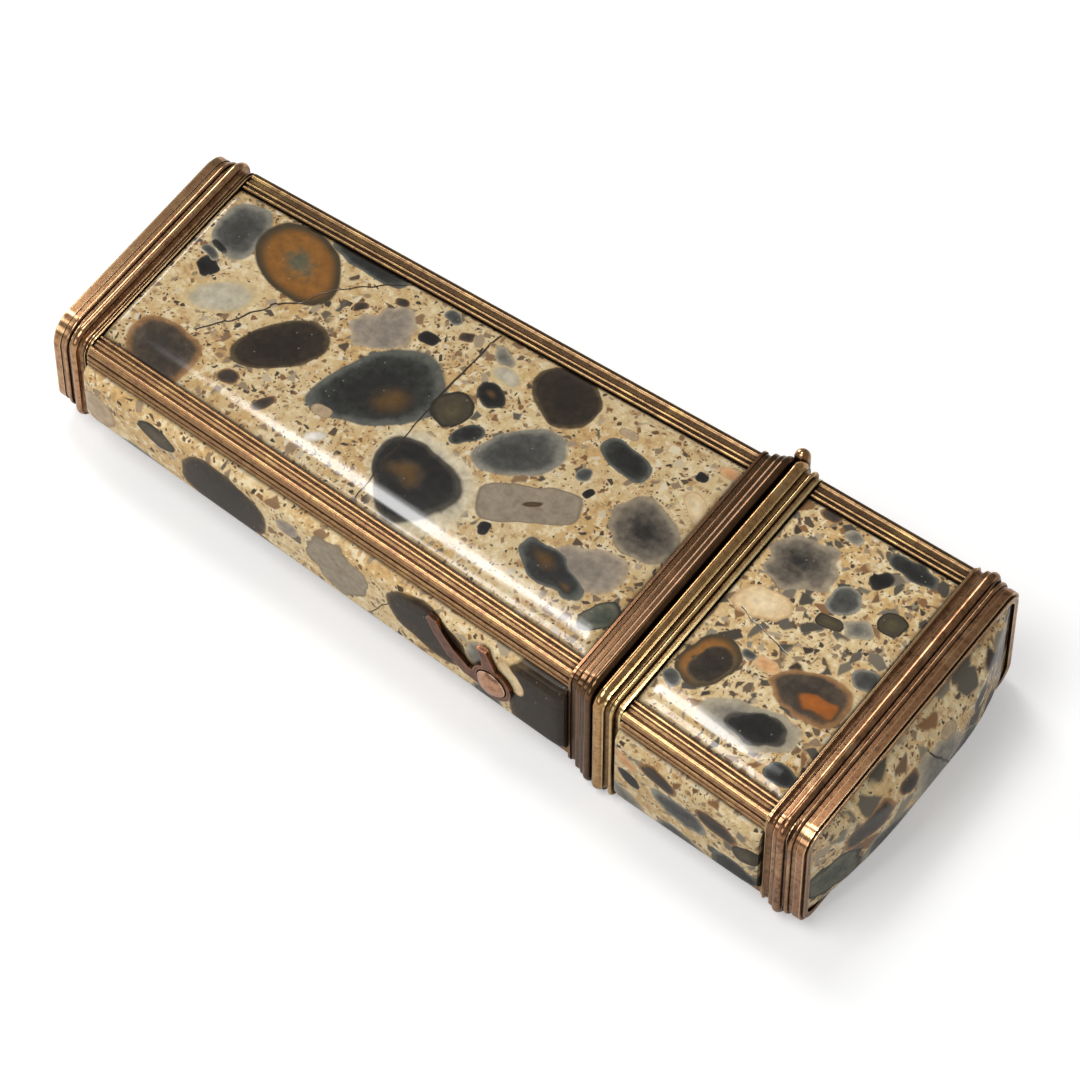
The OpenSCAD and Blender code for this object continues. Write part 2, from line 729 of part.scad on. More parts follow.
// Penknife: an ivory handle, and a steel blade with its tang let into it
module knife_handle() {
    shoulder_w = 4.8;
    color(ivory) translate([0, knife_y, 0]) difference() {
        translate([0, 0, -knife_t / 2]) union() {
            linear_extrude(height = knife_t) polygon([
                [handle_end, -shoulder_w / 2], [head_out - 3, -knife_w / 2],
                [head_out - 3, knife_w / 2], [handle_end, shoulder_w / 2]
            ]);
            translate([head_out - knife_w / 2, 0, 0]) cylinder(r = knife_w / 2, h = knife_t, $fn = 48);
        }
        translate([handle_end - 1, -tang_w / 2 - solder_gap, -blade_t / 2 - solder_gap])
            cube([tang_x - handle_end + 1 + solder_gap, tang_w + 2 * solder_gap, blade_t + 2 * solder_gap]);
    }
}
module knife_blade() {
    edge = blade_w / 2;
    heel = handle_end - solder_gap;
    color(steel) translate([0, knife_y, -blade_t / 2]) linear_extrude(height = blade_t) polygon([
        [tang_x, -tang_w / 2], [tang_x, tang_w / 2], [heel, tang_w / 2], [heel, edge], [tool_end + point_len, edge],
        [tool_end + 5, edge - 0.5], [tool_end + 2, edge - 1.6], [tool_end, -edge + 0.6], [tool_end + 1.2, -edge],
        [heel, -edge], [heel, -tang_w / 2]
    ]);
}

// Stiletto: a turned ivory handle and a steel spike let into it
module stiletto_handle() {
    ring_r = 0.6;
    color(ivory) translate([0, stiletto_y, 0]) rotate([0, 90, 0]) difference() {
        union() {
            translate([0, 0, handle_end]) cylinder(r = stiletto_r - 0.35, h = head_out - handle_end - 1.4);
            for (v = [handle_end + ring_r, handle_end + 4 * ring_r, -2, 0.4])
                translate([0, 0, v]) rotate_extrude() translate([stiletto_r - ring_r, 0]) circle(ring_r);
            translate([0, 0, head_out - stiletto_r]) sphere(r = stiletto_r);
        }
        translate([0, 0, handle_end - 1])
            cylinder(r = spike_r + solder_gap, h = spike_in - handle_end + 1 + solder_gap);
    }
}
module stiletto_spike() {
    color(steel) translate([0, stiletto_y, 0]) rotate([0, 90, 0]) rotate_extrude() polygon([
        [0, tool_end], [0.15, tool_end + 0.2], [spike_r, handle_end - 8], [spike_r, spike_in], [0, spike_in]
    ]);
}

// Bodkin: a flat steel needle with a long eye in its head
module bodkin() {
    shank = 0.9;
    eye_half = 0.65;
    eye_len = 4;
    head_x = head_out - bodkin_w / 2;
    color(steel) translate([0, bodkin_y, -bodkin_t / 2]) difference() {
        union() {
            linear_extrude(height = bodkin_t) polygon([
                [tool_end + shank, -shank], [head_x - 9, -shank], [head_x - eye_len, -bodkin_w / 2], [head_x, -bodkin_w / 2],
                [head_x, bodkin_w / 2], [head_x - eye_len, bodkin_w / 2], [head_x - 9, shank], [tool_end + shank, shank]
            ]);
            translate([head_x, 0, 0]) cylinder(r = bodkin_w / 2, h = bodkin_t);
            translate([tool_end + shank, 0, 0]) cylinder(r = shank, h = bodkin_t);
        }
        for (x = [head_x - eye_len, head_x]) translate([x, 0, -1]) cylinder(r = eye_half, h = bodkin_t + 2);
        translate([head_x - eye_len, -eye_half, -1]) cube([eye_len, 2 * eye_half, bodkin_t + 2]);
    }
}

// Tweezers: two springy leaves joined at the head
module tweezers() {
    bend = tool_end + 8;
    tip = tool_end + 3;
    color(steel) translate([0, tweezer_y + tweezer_w / 2, 0]) rotate([90, 0, 0]) {
        for (s = [0, 1]) mirror([0, s, 0]) linear_extrude(height = tweezer_w) polygon([
            [head_out - 2.5, 0.2], [head_out - 2.5, 0.2 + tweezer_t], [bend, tweezer_spread / 2],
            [tip, tweezer_spread / 2 - 0.5], [tip, tweezer_spread / 2 - 0.5 - tweezer_t],
            [bend, tweezer_spread / 2 - tweezer_t]
        ]);
        translate([head_out - 4, -0.6, 0]) cube([4, 1.2, tweezer_w]);
    }
}

lay_down() body_lining();
lay_down() mouth_collar();
lay_down() body_rim();
lay_down() base_band();
lay_down() corner_strip(body_x0, body_x1, false, true);  // body_strip_front_button
lay_down() corner_strip(body_x0, body_x1, false, false);  // body_strip_front_hinge
lay_down() corner_strip(body_x0, body_x1, true, true);  // body_strip_back_button
lay_down() corner_strip(body_x0, body_x1, true, false);  // body_strip_back_hinge
lay_down() body_stone(0);  // body_front_stone
lay_down() body_stone(2);  // body_back_stone
lay_down() body_button_stone();
lay_down() body_stone(1);  // body_hinge_stone
lay_down() base_stone();
lay_down() knuckle_row(0);  // body_knuckles
lay_down() hinge_pin();
lay_down() button_mount();
lay_down() spring_bracket();
lay_down() tool_block();
lay_down() push_button();
lay_down() catch_spring();
lay_down() lid_lining();
lay_down() lid_rim();
lay_down() lid_end_band();
lay_down() corner_strip(lid_x0, lid_x1, false, true);  // lid_strip_front_button
lay_down() corner_strip(lid_x0, lid_x1, false, false);  // lid_strip_front_hinge
lay_down() corner_strip(lid_x0, lid_x1, true, true);  // lid_strip_back_button
lay_down() corner_strip(lid_x0, lid_x1, true, false);  // lid_strip_back_hinge
lay_down() lid_stone(0);  // lid_front_stone
lay_down() lid_stone(2);  // lid_back_stone
lay_down() lid_stone(3);  // lid_button_stone
lay_down() lid_stone(1);  // lid_hinge_stone
lay_down() lid_end_stone();
lay_down() knuckle_row(1);  // lid_knuckles
lay_down() knife_handle();
lay_down() knife_blade();
lay_down() stiletto_handle();
lay_down() stiletto_spike();
lay_down() bodkin();
lay_down() tweezers();
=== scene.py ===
"""Looks of the agate etui: polished pudding stone, aged gilt metalwork, its tools and a plain studio."""

import json
import logging
import math
from dataclasses import dataclass
from enum import Enum
from random import Random
from typing import Any

import bmesh
import bpy
from mathutils import Matrix, Vector

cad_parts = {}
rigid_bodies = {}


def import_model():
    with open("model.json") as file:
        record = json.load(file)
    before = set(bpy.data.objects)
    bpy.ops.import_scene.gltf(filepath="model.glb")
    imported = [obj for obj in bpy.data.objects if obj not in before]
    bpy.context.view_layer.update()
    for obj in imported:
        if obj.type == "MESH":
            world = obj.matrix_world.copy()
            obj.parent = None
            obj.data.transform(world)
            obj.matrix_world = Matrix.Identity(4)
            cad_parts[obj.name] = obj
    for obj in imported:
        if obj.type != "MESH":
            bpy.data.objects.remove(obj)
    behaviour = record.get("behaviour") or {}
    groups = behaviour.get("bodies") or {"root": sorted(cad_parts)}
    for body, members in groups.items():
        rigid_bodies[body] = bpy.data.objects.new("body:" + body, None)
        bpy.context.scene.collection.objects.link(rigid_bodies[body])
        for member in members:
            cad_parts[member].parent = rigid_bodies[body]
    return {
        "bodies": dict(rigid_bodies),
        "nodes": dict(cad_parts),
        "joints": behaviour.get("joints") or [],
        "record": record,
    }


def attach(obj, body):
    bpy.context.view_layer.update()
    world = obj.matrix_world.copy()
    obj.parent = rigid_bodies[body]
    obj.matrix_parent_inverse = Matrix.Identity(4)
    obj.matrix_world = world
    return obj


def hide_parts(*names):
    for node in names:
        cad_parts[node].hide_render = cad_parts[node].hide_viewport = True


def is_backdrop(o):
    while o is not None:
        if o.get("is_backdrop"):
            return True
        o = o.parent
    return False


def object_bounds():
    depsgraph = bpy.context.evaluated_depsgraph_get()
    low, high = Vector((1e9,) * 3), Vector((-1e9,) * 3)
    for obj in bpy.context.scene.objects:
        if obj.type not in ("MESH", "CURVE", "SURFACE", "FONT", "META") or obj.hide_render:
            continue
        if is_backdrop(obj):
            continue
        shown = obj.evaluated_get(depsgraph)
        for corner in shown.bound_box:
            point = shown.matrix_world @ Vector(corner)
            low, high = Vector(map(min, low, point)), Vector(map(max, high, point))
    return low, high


LOG = logging.getLogger("etui")
Tone = tuple[float, float, float, float]
Node = bpy.types.Node
Socket = bpy.types.NodeSocket

MM = 0.001
MERGE_DISTANCE = 0.002 * MM
# The maps of the pebbles count x from the base band, and z from the case's axis
MAP_X = 44.10
AXIS_Z = 9.2


def tone(red: int, green: int, blue: int) -> Tone:
    """Turn a colour of 0 to 255 a channel into the linear colour that a shader takes.

    Args:
        red: red channel as a screen shows it.
        green: green channel.
        blue: blue channel.

    Returns:
        The linear colour with full alpha.
    """
    parts = [channel / 255 for channel in (red, green, blue)]
    linear = [p / 12.92 if p <= 0.04045 else ((p + 0.055) / 1.055) ** 2.4 for p in parts]
    return (linear[0], linear[1], linear[2], 1.0)


class Graph:
    """A node tree that is being drawn, with a short call for each kind of node the finishes use."""

    def __init__(self, tree: bpy.types.NodeTree) -> None:
        """Keep the tree that the calls draw in."""
        self.tree = tree

    def add(self, kind: str, **settings: Any) -> Node:
        """Add a node and set its settings.

        Args:
            kind: Blender's name of the node type.
            settings: attributes of the node and their values.

        Returns:
            The new node.
        """
        node = self.tree.nodes.new(kind)
        for name, value in settings.items():
            setattr(node, name, value)
        return node

    def feed(self, socket: Socket, value: Any) -> None:
        """Link a socket to another, or set its value.

        Args:
            socket: the input socket.
            value: an output socket, or a plain value.
        """
        if isinstance(value, bpy.types.NodeSocket):
            self.tree.links.new(value, socket)
        else:
            socket.default_value = value

    def maths(self, operation: str, first: Any, second: Any = 0.0, third: Any = 0.0) -> Socket:
        """Add a Math node.

        Args:
            operation: Blender's name of the operation.
            first: first value or socket.
            second: second value or socket.
            third: third value or socket.

        Returns:
            The result's socket.
        """
        node = self.add("ShaderNodeMath", operation=operation)
        for socket, value in zip(node.inputs, (first, second, third)):
            self.feed(socket, value)
        return node.outputs[0]

    def vector(self, operation: str, first: Any, second: Any = (0.0, 0.0, 0.0)) -> Socket:
        """Add a Vector Math node.

        Args:
            operation: Blender's name of the operation. SCALE takes a number as second.
            first: first vector or socket.
            second: second vector, number or socket.

        Returns:
            The result's socket, a value for LENGTH and DOT_PRODUCT.
        """
        node = self.add("ShaderNodeVectorMath", operation=operation)
        self.feed(node.inputs[0], first)
        self.feed(node.inputs["Scale"] if operation == "SCALE" else node.inputs[1], second)
        return node.outputs["Value" if operation in ("LENGTH", "DOT_PRODUCT") else "Vector"]

    def blend(self, share: Any, under: Any, over: Any, kind: str = "MIX") -> Socket:
        """Mix two colours.

        Args:
            share: share of the upper colour.
            under: lower colour.
            over: upper colour.
            kind: Blender's name of the blend type.

        Returns:
            The mixed colour's socket.
        """
        node = self.add("ShaderNodeMix", data_type="RGBA", blend_type=kind)
        self.feed(node.inputs[0], share)
        self.feed(node.inputs[6], under)
        self.feed(node.inputs[7], over)
        return node.outputs[2]

    def step(self, value: Any, low: Any, high: Any, start: float = 0.0, end: float = 1.0) -> Socket:
        """Smooth step from start to end as the value goes from low to high.

        Args:
            value: the value that is compared.
            low: where the step begins.
            high: where the step ends.
            start: result below the step.
            end: result above the step.

        Returns:
            The result's socket.
        """
        node = self.add("ShaderNodeMapRange", interpolation_type="SMOOTHSTEP")
        for name, part in (("Value", value), ("From Min", low), ("From Max", high), ("To Min", start), ("To Max", end)):
            self.feed(node.inputs[name], part)
        return node.outputs[0]

    def noise(self, place: Socket, scale: float, detail: float = 2.0, rough: float = 0.5) -> Node:
        """Add a Noise Texture, whose outputs are the value and the colour."""
        node = self.add("ShaderNodeTexNoise")
        for name, value in (("Vector", place), ("Scale", scale), ("Detail", detail), ("Roughness", rough)):
            self.feed(node.inputs[name], value)
        return node

    def cells(self, place: Socket, scale: Any, feature: str = "F1", random: float = 1.0) -> Node:
        """Add a Voronoi Texture, whose outputs are the distance and the cell's own colour."""
        node = self.add("ShaderNodeTexVoronoi", feature=feature)
        for name, value in (("Vector", place), ("Scale", scale), ("Randomness", random)):
            self.feed(node.inputs[name], value)
        return node

    def split(self, value: Socket) -> list[Socket]:
        """Split a vector into its three numbers."""
        node = self.add("ShaderNodeSeparateXYZ")
        self.feed(node.inputs[0], value)
        return list(node.outputs)

    def channels(self, colour: Socket) -> list[Socket]:
        """Split a colour into its three numbers."""
        node = self.add("ShaderNodeSeparateColor")
        self.feed(node.inputs[0], colour)
        return list(node.outputs)

    def grey(self, value: Socket) -> Socket:
        """Turn a number into a grey."""
        node = self.add("ShaderNodeCombineColor")
        for socket in node.inputs:
            self.feed(socket, value)
        return node.outputs[0]

    def join(self, x: Any, y: Any, z: Any = 0.0) -> Socket:
        """Join three numbers into a vector."""
        node = self.add("ShaderNodeCombineXYZ")
        for socket, value in zip(node.inputs, (x, y, z)):
            self.feed(socket, value)
        return node.outputs[0]

    def place_mm(self) -> Socket:
        """Give the place on the case in millimetres, in the maps' frame."""
        coordinates = self.add("ShaderNodeTexCoord")
        mapping = self.add("ShaderNodeMapping")
        self.feed(mapping.inputs["Vector"], coordinates.outputs["Object"])
        mapping.inputs["Location"].default_value = (MAP_X, 0.0, -AXIS_Z)
        mapping.inputs["Scale"].default_value = (1 / MM, 1 / MM, 1 / MM)
        return mapping.outputs[0]


class Effect:
    """A look that several finishes share, kept as one shader node group that is built once."""

    name = "effect"
    takes: tuple[tuple[str, str], ...] = ()
    gives: tuple[tuple[str, str], ...] = ()

    def draw(self, graph: Graph, takes: dict[str, Socket]) -> dict[str, Socket]:
        """Draw the effect's nodes.

        Args:
            graph: the group's tree.
            takes: the group's inputs by name.

        Returns:
            The socket that feeds each of the group's outputs.
        """
        raise NotImplementedError

    def tree(self) -> bpy.types.NodeTree:
        """Return the effect's node group, drawn on the first call."""
        known = bpy.data.node_groups.get(self.name)
        if known is not None:
            return known
        tree = bpy.data.node_groups.new(self.name, "ShaderNodeTree")
        for name, kind in self.takes:
            tree.interface.new_socket(name=name, in_out="INPUT", socket_type="NodeSocket" + kind)
        for name, kind in self.gives:
            tree.interface.new_socket(name=name, in_out="OUTPUT", socket_type="NodeSocket" + kind)
        start = tree.nodes.new("NodeGroupInput")
        end = tree.nodes.new("NodeGroupOutput")
        given = self.draw(Graph(tree), {name: start.outputs[name] for name, _ in self.takes})
        for name, socket in given.items():
            tree.links.new(socket, end.inputs[name])
        return tree

    def use(self, graph: Graph, **values: Any) -> dict[str, Socket]:
        """Place the effect in a finish.

        Args:
            graph: the finish's tree.
            values: the group's inputs by name.

        Returns:
            The group's outputs by name.
        """
        node = graph.add("ShaderNodeGroup", node_tree=self.tree())
        for name, value in values.items():
            graph.feed(node.inputs[name], value)
        return {name: node.outputs[name] for name, _ in self.gives}


class PebbleEffect(Effect):
    """One pebble cut through: a core, a body and a rim inside a ragged rounded outline."""

    name = "pebble"
    takes = (
        ("Under", "Color"), ("Place", "Vector"), ("Wobble", "Vector"), ("Mottle", "Float"), ("Middle", "Vector"),
        ("Along", "Vector"), ("Across", "Vector"), ("Taper", "Float"), ("Squareness", "Float"),
        ("Raggedness", "Float"),
        ("Core", "Color"), ("Body", "Color"), ("Rim", "Color"), ("CoreShare", "Float"), ("CoreSoft", "Float"),
        ("RimWidth", "Float"), ("Softness", "Float"), ("Specks", "Float"), ("Light", "Color"),
    )
    gives = (("Color", "Color"), ("Mask", "Float"))

    def draw(self, graph: Graph, takes: dict[str, Socket]) -> dict[str, Socket]:
        """Draw the pebble's nodes. Args and Returns are as in Effect."""
        moved = graph.vector("SUBTRACT", takes["Place"], takes["Middle"])
        moved = graph.vector("ADD", moved, graph.vector("SCALE", takes["Wobble"], takes["Raggedness"]))
        along = graph.vector("DOT_PRODUCT", moved, takes["Along"])
        across = graph.vector("DOT_PRODUCT", moved, takes["Across"])
        spread = graph.maths("MAXIMUM", graph.maths("MULTIPLY_ADD", along, takes["Taper"], 1.0), 0.2)
        along = graph.maths("ABSOLUTE", along)
        across = graph.maths("ABSOLUTE", graph.maths("DIVIDE", across, spread))
        power = takes["Squareness"]
        total = graph.maths("ADD", graph.maths("POWER", across, power), graph.maths("POWER", along, power))
        out = graph.maths("POWER", total, graph.maths("DIVIDE", 1.0, power))
        mottle = graph.maths("SUBTRACT", takes["Mottle"], 0.5)
        soft = takes["Softness"]
        inside = graph.step(out, graph.maths("SUBTRACT", 1.0, soft), graph.maths("MULTIPLY_ADD", soft, 0.3, 1.0), 1.0, 0.0)
        cloudy = graph.maths("MULTIPLY_ADD", mottle, 0.7, out)
        share = takes["CoreShare"]
        fade = takes["CoreSoft"]
        core = graph.step(cloudy, graph.maths("SUBTRACT", share, fade), graph.maths("ADD", share, fade), 1.0, 0.0)
        width = takes["RimWidth"]
        rim = graph.step(
            graph.maths("MULTIPLY_ADD", mottle, 0.12, out),
            graph.maths("MULTIPLY_ADD", width, -1.7, 1.0), graph.maths("MULTIPLY_ADD", width, -0.4, 1.0))
        colour = graph.blend(core, takes["Body"], takes["Core"])
        colour = graph.blend(rim, colour, takes["Rim"])
        colour = graph.blend(1.0, colour, takes["Light"], "MULTIPLY")
        colour = graph.blend(takes["Specks"], colour, tone(170, 166, 156))
        return {"Color": graph.blend(inside, takes["Under"], colour), "Mask": inside}


class ClastEffect(Effect):
    """Angular grains of many sizes, spread at random through the stone."""

    name = "clasts"
    takes = (
        ("Under", "Color"), ("Place", "Vector"), ("Scale", "Float"), ("Share", "Float"), ("Gap", "Float"),
        ("First", "Color"), ("Second", "Color"), ("Third", "Color"),
    )
    gives = (("Color", "Color"), ("Mask", "Float"))

    def draw(self, graph: Graph, takes: dict[str, Socket]) -> dict[str, Socket]:
        """Draw the grains' nodes. Args and Returns are as in Effect."""
        cell = graph.cells(takes["Place"], takes["Scale"])
        edge = graph.cells(takes["Place"], takes["Scale"], "DISTANCE_TO_EDGE")
        chance, size, pick = graph.channels(cell.outputs["Color"])
        chosen = graph.maths("LESS_THAN", chance, takes["Share"])
        gap = graph.maths("MULTIPLY_ADD", size, 0.2, takes["Gap"])
        inside = graph.step(edge.outputs["Distance"], gap, graph.maths("ADD", gap, 0.12))
        mask = graph.maths("MULTIPLY", chosen, inside)
        colour = graph.blend(graph.step(pick, 0.2, 0.5), takes["First"], takes["Second"])
        colour = graph.blend(graph.step(pick, 0.62, 0.8), colour, takes["Third"])
        return {"Color": graph.blend(mask, takes["Under"], colour), "Mask": mask}


class GroundEffect(Effect):
    """The buff ground that holds the pebbles, with its fine sand."""

    name = "ground"
    takes = (("Place", "Vector"),)
    gives = (("Color", "Color"), ("Mottle", "Float"), ("Wobble", "Vector"), ("Specks", "Float"), ("Light", "Color"))

    def draw(self, graph: Graph, takes: dict[str, Socket]) -> dict[str, Socket]:
        """Draw the ground's nodes. Args and Returns are as in Effect."""
        place = takes["Place"]
        broad = graph.noise(place, 0.16, 2.0)
        wobble = graph.noise(place, 0.36, 1.6, 0.4)
        mottle = graph.noise(place, 1.1, 5.0, 0.62)
        fine = graph.noise(place, 7.0, 3.0, 0.6)
        colour = graph.blend(graph.step(broad.outputs[0], 0.4, 0.64), tone(209, 184, 138), tone(198, 163, 108))
        colour = graph.blend(graph.step(mottle.outputs[0], 0.5, 0.62), colour, tone(222, 203, 163))
        colour = graph.blend(graph.step(mottle.outputs[0], 0.34, 0.45, 1.0, 0.0), colour, tone(178, 142, 96))
        colour = graph.blend(graph.step(fine.outputs[0], 0.56, 0.72, 0.0, 0.45), colour, tone(138, 104, 70))
        shift = graph.vector("SUBTRACT", graph.join(*graph.channels(wobble.outputs[1])), (0.5, 0.5, 0.5))
        dot = graph.cells(place, 1.5)
        rare = graph.maths("LESS_THAN", graph.channels(dot.outputs["Color"])[0], 0.13)
        specks = graph.maths("MULTIPLY", rare, graph.step(dot.outputs["Distance"], 0.03, 0.2, 0.45, 0.0))
        light = graph.grey(graph.maths("MULTIPLY_ADD", mottle.outputs[0], 1.1, 0.45))
        return {"Color": colour, "Mottle": mottle.outputs[0], "Wobble": shift, "Specks": specks, "Light": light}


class CrackEffect(Effect):
    """A hairline crack between two points."""

    name = "crack"
    takes = (
        ("Under", "Color"), ("Place", "Vector"), ("Wobble", "Vector"), ("Start", "Vector"), ("Finish", "Vector"),
        ("Width", "Float"), ("Waver", "Float"), ("Tone", "Color"),
    )
    gives = (("Color", "Color"), ("Mask", "Float"))

    def draw(self, graph: Graph, takes: dict[str, Socket]) -> dict[str, Socket]:
        """Draw the crack's nodes. Args and Returns are as in Effect."""
        place = graph.vector("ADD", takes["Place"], graph.vector("SCALE", takes["Wobble"], takes["Waver"]))
        run = graph.vector("SUBTRACT", takes["Finish"], takes["Start"])
        away = graph.vector("SUBTRACT", place, takes["Start"])
        share = graph.maths("DIVIDE", graph.vector("DOT_PRODUCT", away, run), graph.vector("DOT_PRODUCT", run, run))
        share = graph.maths("MINIMUM", graph.maths("MAXIMUM", share, 0.0), 1.0)
        off = graph.vector("LENGTH", graph.vector("SUBTRACT", away, graph.vector("SCALE", run, share)))
        mask = graph.step(off, graph.maths("MULTIPLY", takes["Width"], 0.3), takes["Width"], 1.0, 0.0)
        return {"Color": graph.blend(mask, takes["Under"], takes["Tone"]), "Mask": mask}


class SeamDirtAndShadeEffect(Effect):
    """Old dirt and painted shade along the seams, where one piece meets the next."""

    name = "seam_dirt_and_shade"
    takes = (("Under", "Color"), ("Mottle", "Float"), ("Tone", "Color"))
    gives = (("Color", "Color"), ("Mask", "Float"))

    def draw(self, graph: Graph, takes: dict[str, Socket]) -> dict[str, Socket]:
        """Draw the dirt's nodes. Args and Returns are as in Effect."""
        seam = graph.add("ShaderNodeAmbientOcclusion", samples=6)
        seam.inputs["Distance"].default_value = 0.7 * MM
        # Dirt and painted shade: the colour darkens where a seam lies close by.
        dirt_and_shade = graph.step(seam.outputs["AO"], 0.5, 0.88, 0.85, 0.0)
        dirt_and_shade = graph.maths("MULTIPLY", dirt_and_shade, graph.maths("MULTIPLY_ADD", takes["Mottle"], 0.9, 0.5))
        dirt_and_shade = graph.maths("MINIMUM", dirt_and_shade, 1.0)
        return {"Color": graph.blend(dirt_and_shade, takes["Under"], takes["Tone"]), "Mask": dirt_and_shade}


class GiltWearAndPaintedLightEffect(Effect):
    """Aged gilding: dark in the hollows from grime and painted shade, bright on the crests and edges from rubbing and a
    painted highlight, blotched in between.
    """

    name = "worn_gilding_with_painted_light"
    takes = (
        ("Place", "Vector"), ("Hollow", "Color"), ("Middle", "Color"), ("Crest", "Color"), ("Stain", "Color"),
        ("Grime", "Float"), ("Rubbed", "Float"),
    )
    gives = (("Color", "Color"), ("Roughness", "Float"), ("Height", "Float"))

    def draw(self, graph: Graph, takes: dict[str, Socket]) -> dict[str, Socket]:
        """Draw the wear's nodes. Args and Returns are as in Effect."""
        place = takes["Place"]
        hollow_of = graph.add("ShaderNodeAmbientOcclusion", samples=8)
        hollow_of.inputs["Distance"].default_value = 0.9 * MM
        edge_of = graph.add("ShaderNodeAmbientOcclusion", samples=8, inside=True, only_local=True)
        edge_of.inputs["Distance"].default_value = 0.3 * MM
        broad = graph.noise(place, 0.35, 3.0, 0.6).outputs[0]
        cloud = graph.noise(place, 1.6, 4.0, 0.65).outputs[0]
        grain = graph.noise(place, 9.0, 3.0, 0.6).outputs[0]
        # The hollows are darkened by grime and by painted shade, where the ambient occlusion finds a recess.
        deep = graph.step(hollow_of.outputs["AO"], 0.42, 0.98, 1.0, 0.0)
        deep = graph.maths("MULTIPLY", deep, graph.maths("MULTIPLY_ADD", cloud, 0.7, 0.65))
        deep = graph.maths("MINIMUM", graph.maths("MULTIPLY", deep, takes["Grime"]), 1.0)
        # The crests and edges are brightened by rubbed wear and by a painted highlight.
        edge = graph.step(edge_of.outputs["AO"], 0.4, 0.85, 1.0, 0.0)
        rubbing_and_highlight = graph.maths("ADD", edge, graph.step(broad, 0.5, 0.75, 0.0, 0.3))
        rubbing_and_highlight = graph.maths("MINIMUM", graph.maths("MULTIPLY", rubbing_and_highlight, takes["Rubbed"]), 1.0)
        colour = graph.blend(graph.step(cloud, 0.42, 0.68), takes["Middle"], takes["Stain"])
        colour = graph.blend(rubbing_and_highlight, colour, takes["Crest"])
        colour = graph.blend(deep, colour, takes["Hollow"])
        colour = graph.vector("SCALE", colour, graph.maths("MULTIPLY_ADD", grain, 0.16, 0.92))
        rough = graph.maths("MULTIPLY_ADD", deep, 0.3, graph.maths("MULTIPLY_ADD", cloud, 0.16, 0.1))
        height = graph.maths("ADD", graph.maths("MULTIPLY", cloud, 0.85), graph.maths("MULTIPLY", grain, 0.15))
        return {"Color": colour, "Roughness": rough, "Height": height}


class GrainEffect(Effect):
    """Fine lines that run along the case, for brushed metal, ivory and wood."""

    name = "long_grain"
    takes = (("Place", "Vector"), ("Fineness", "Float"), ("Light", "Color"), ("Dark", "Color"))
    gives = (("Color", "Color"), ("Value", "Float"))

    def draw(self, graph: Graph, takes: dict[str, Socket]) -> dict[str, Socket]:
        """Draw the grain's nodes. Args and Returns are as in Effect."""
        stretched = graph.vector("MULTIPLY", takes["Place"], (0.06, 1.0, 1.0))
        node = graph.add("ShaderNodeTexNoise")
        for name, value in (("Vector", stretched), ("Scale", takes["Fineness"]), ("Detail", 4.0), ("Roughness", 0.65)):
            graph.feed(node.inputs[name], value)
        lines = graph.step(node.outputs[0], 0.34, 0.66)
        return {"Color": graph.blend(lines, takes["Light"], takes["Dark"]), "Value": lines}


PEBBLE = PebbleEffect()
CLASTS = ClastEffect()
GROUND = GroundEffect()
CRACK = CrackEffect()
SEAM_DIRT_AND_SHADE = SeamDirtAndShadeEffect()
WEAR_AND_PAINTED_LIGHT = GiltWearAndPaintedLightEffect()
GRAIN = GrainEffect()


def new_material(name: str) -> tuple[bpy.types.Material, Graph, Node]:
    """Start a material.

    Args:
        name: the material's name.

    Returns:
        The material, its tree and its Principled shader.
    """
    material = bpy.data.materials.new(name)
    material.use_nodes = True
    shader = material.node_tree.nodes["Principled BSDF"]
    return material, Graph(material.node_tree), shader


@dataclass(frozen=True)
class PebbleLook:
    """Tones of a sort of pebble, and how its core, rim and edge are."""

    core: Tone
    body: Tone
    rim: Tone
    core_share: float = 0.45
    rim_width: float = 0.12
    softness: float = 0.06
    core_soft: float = 0.16


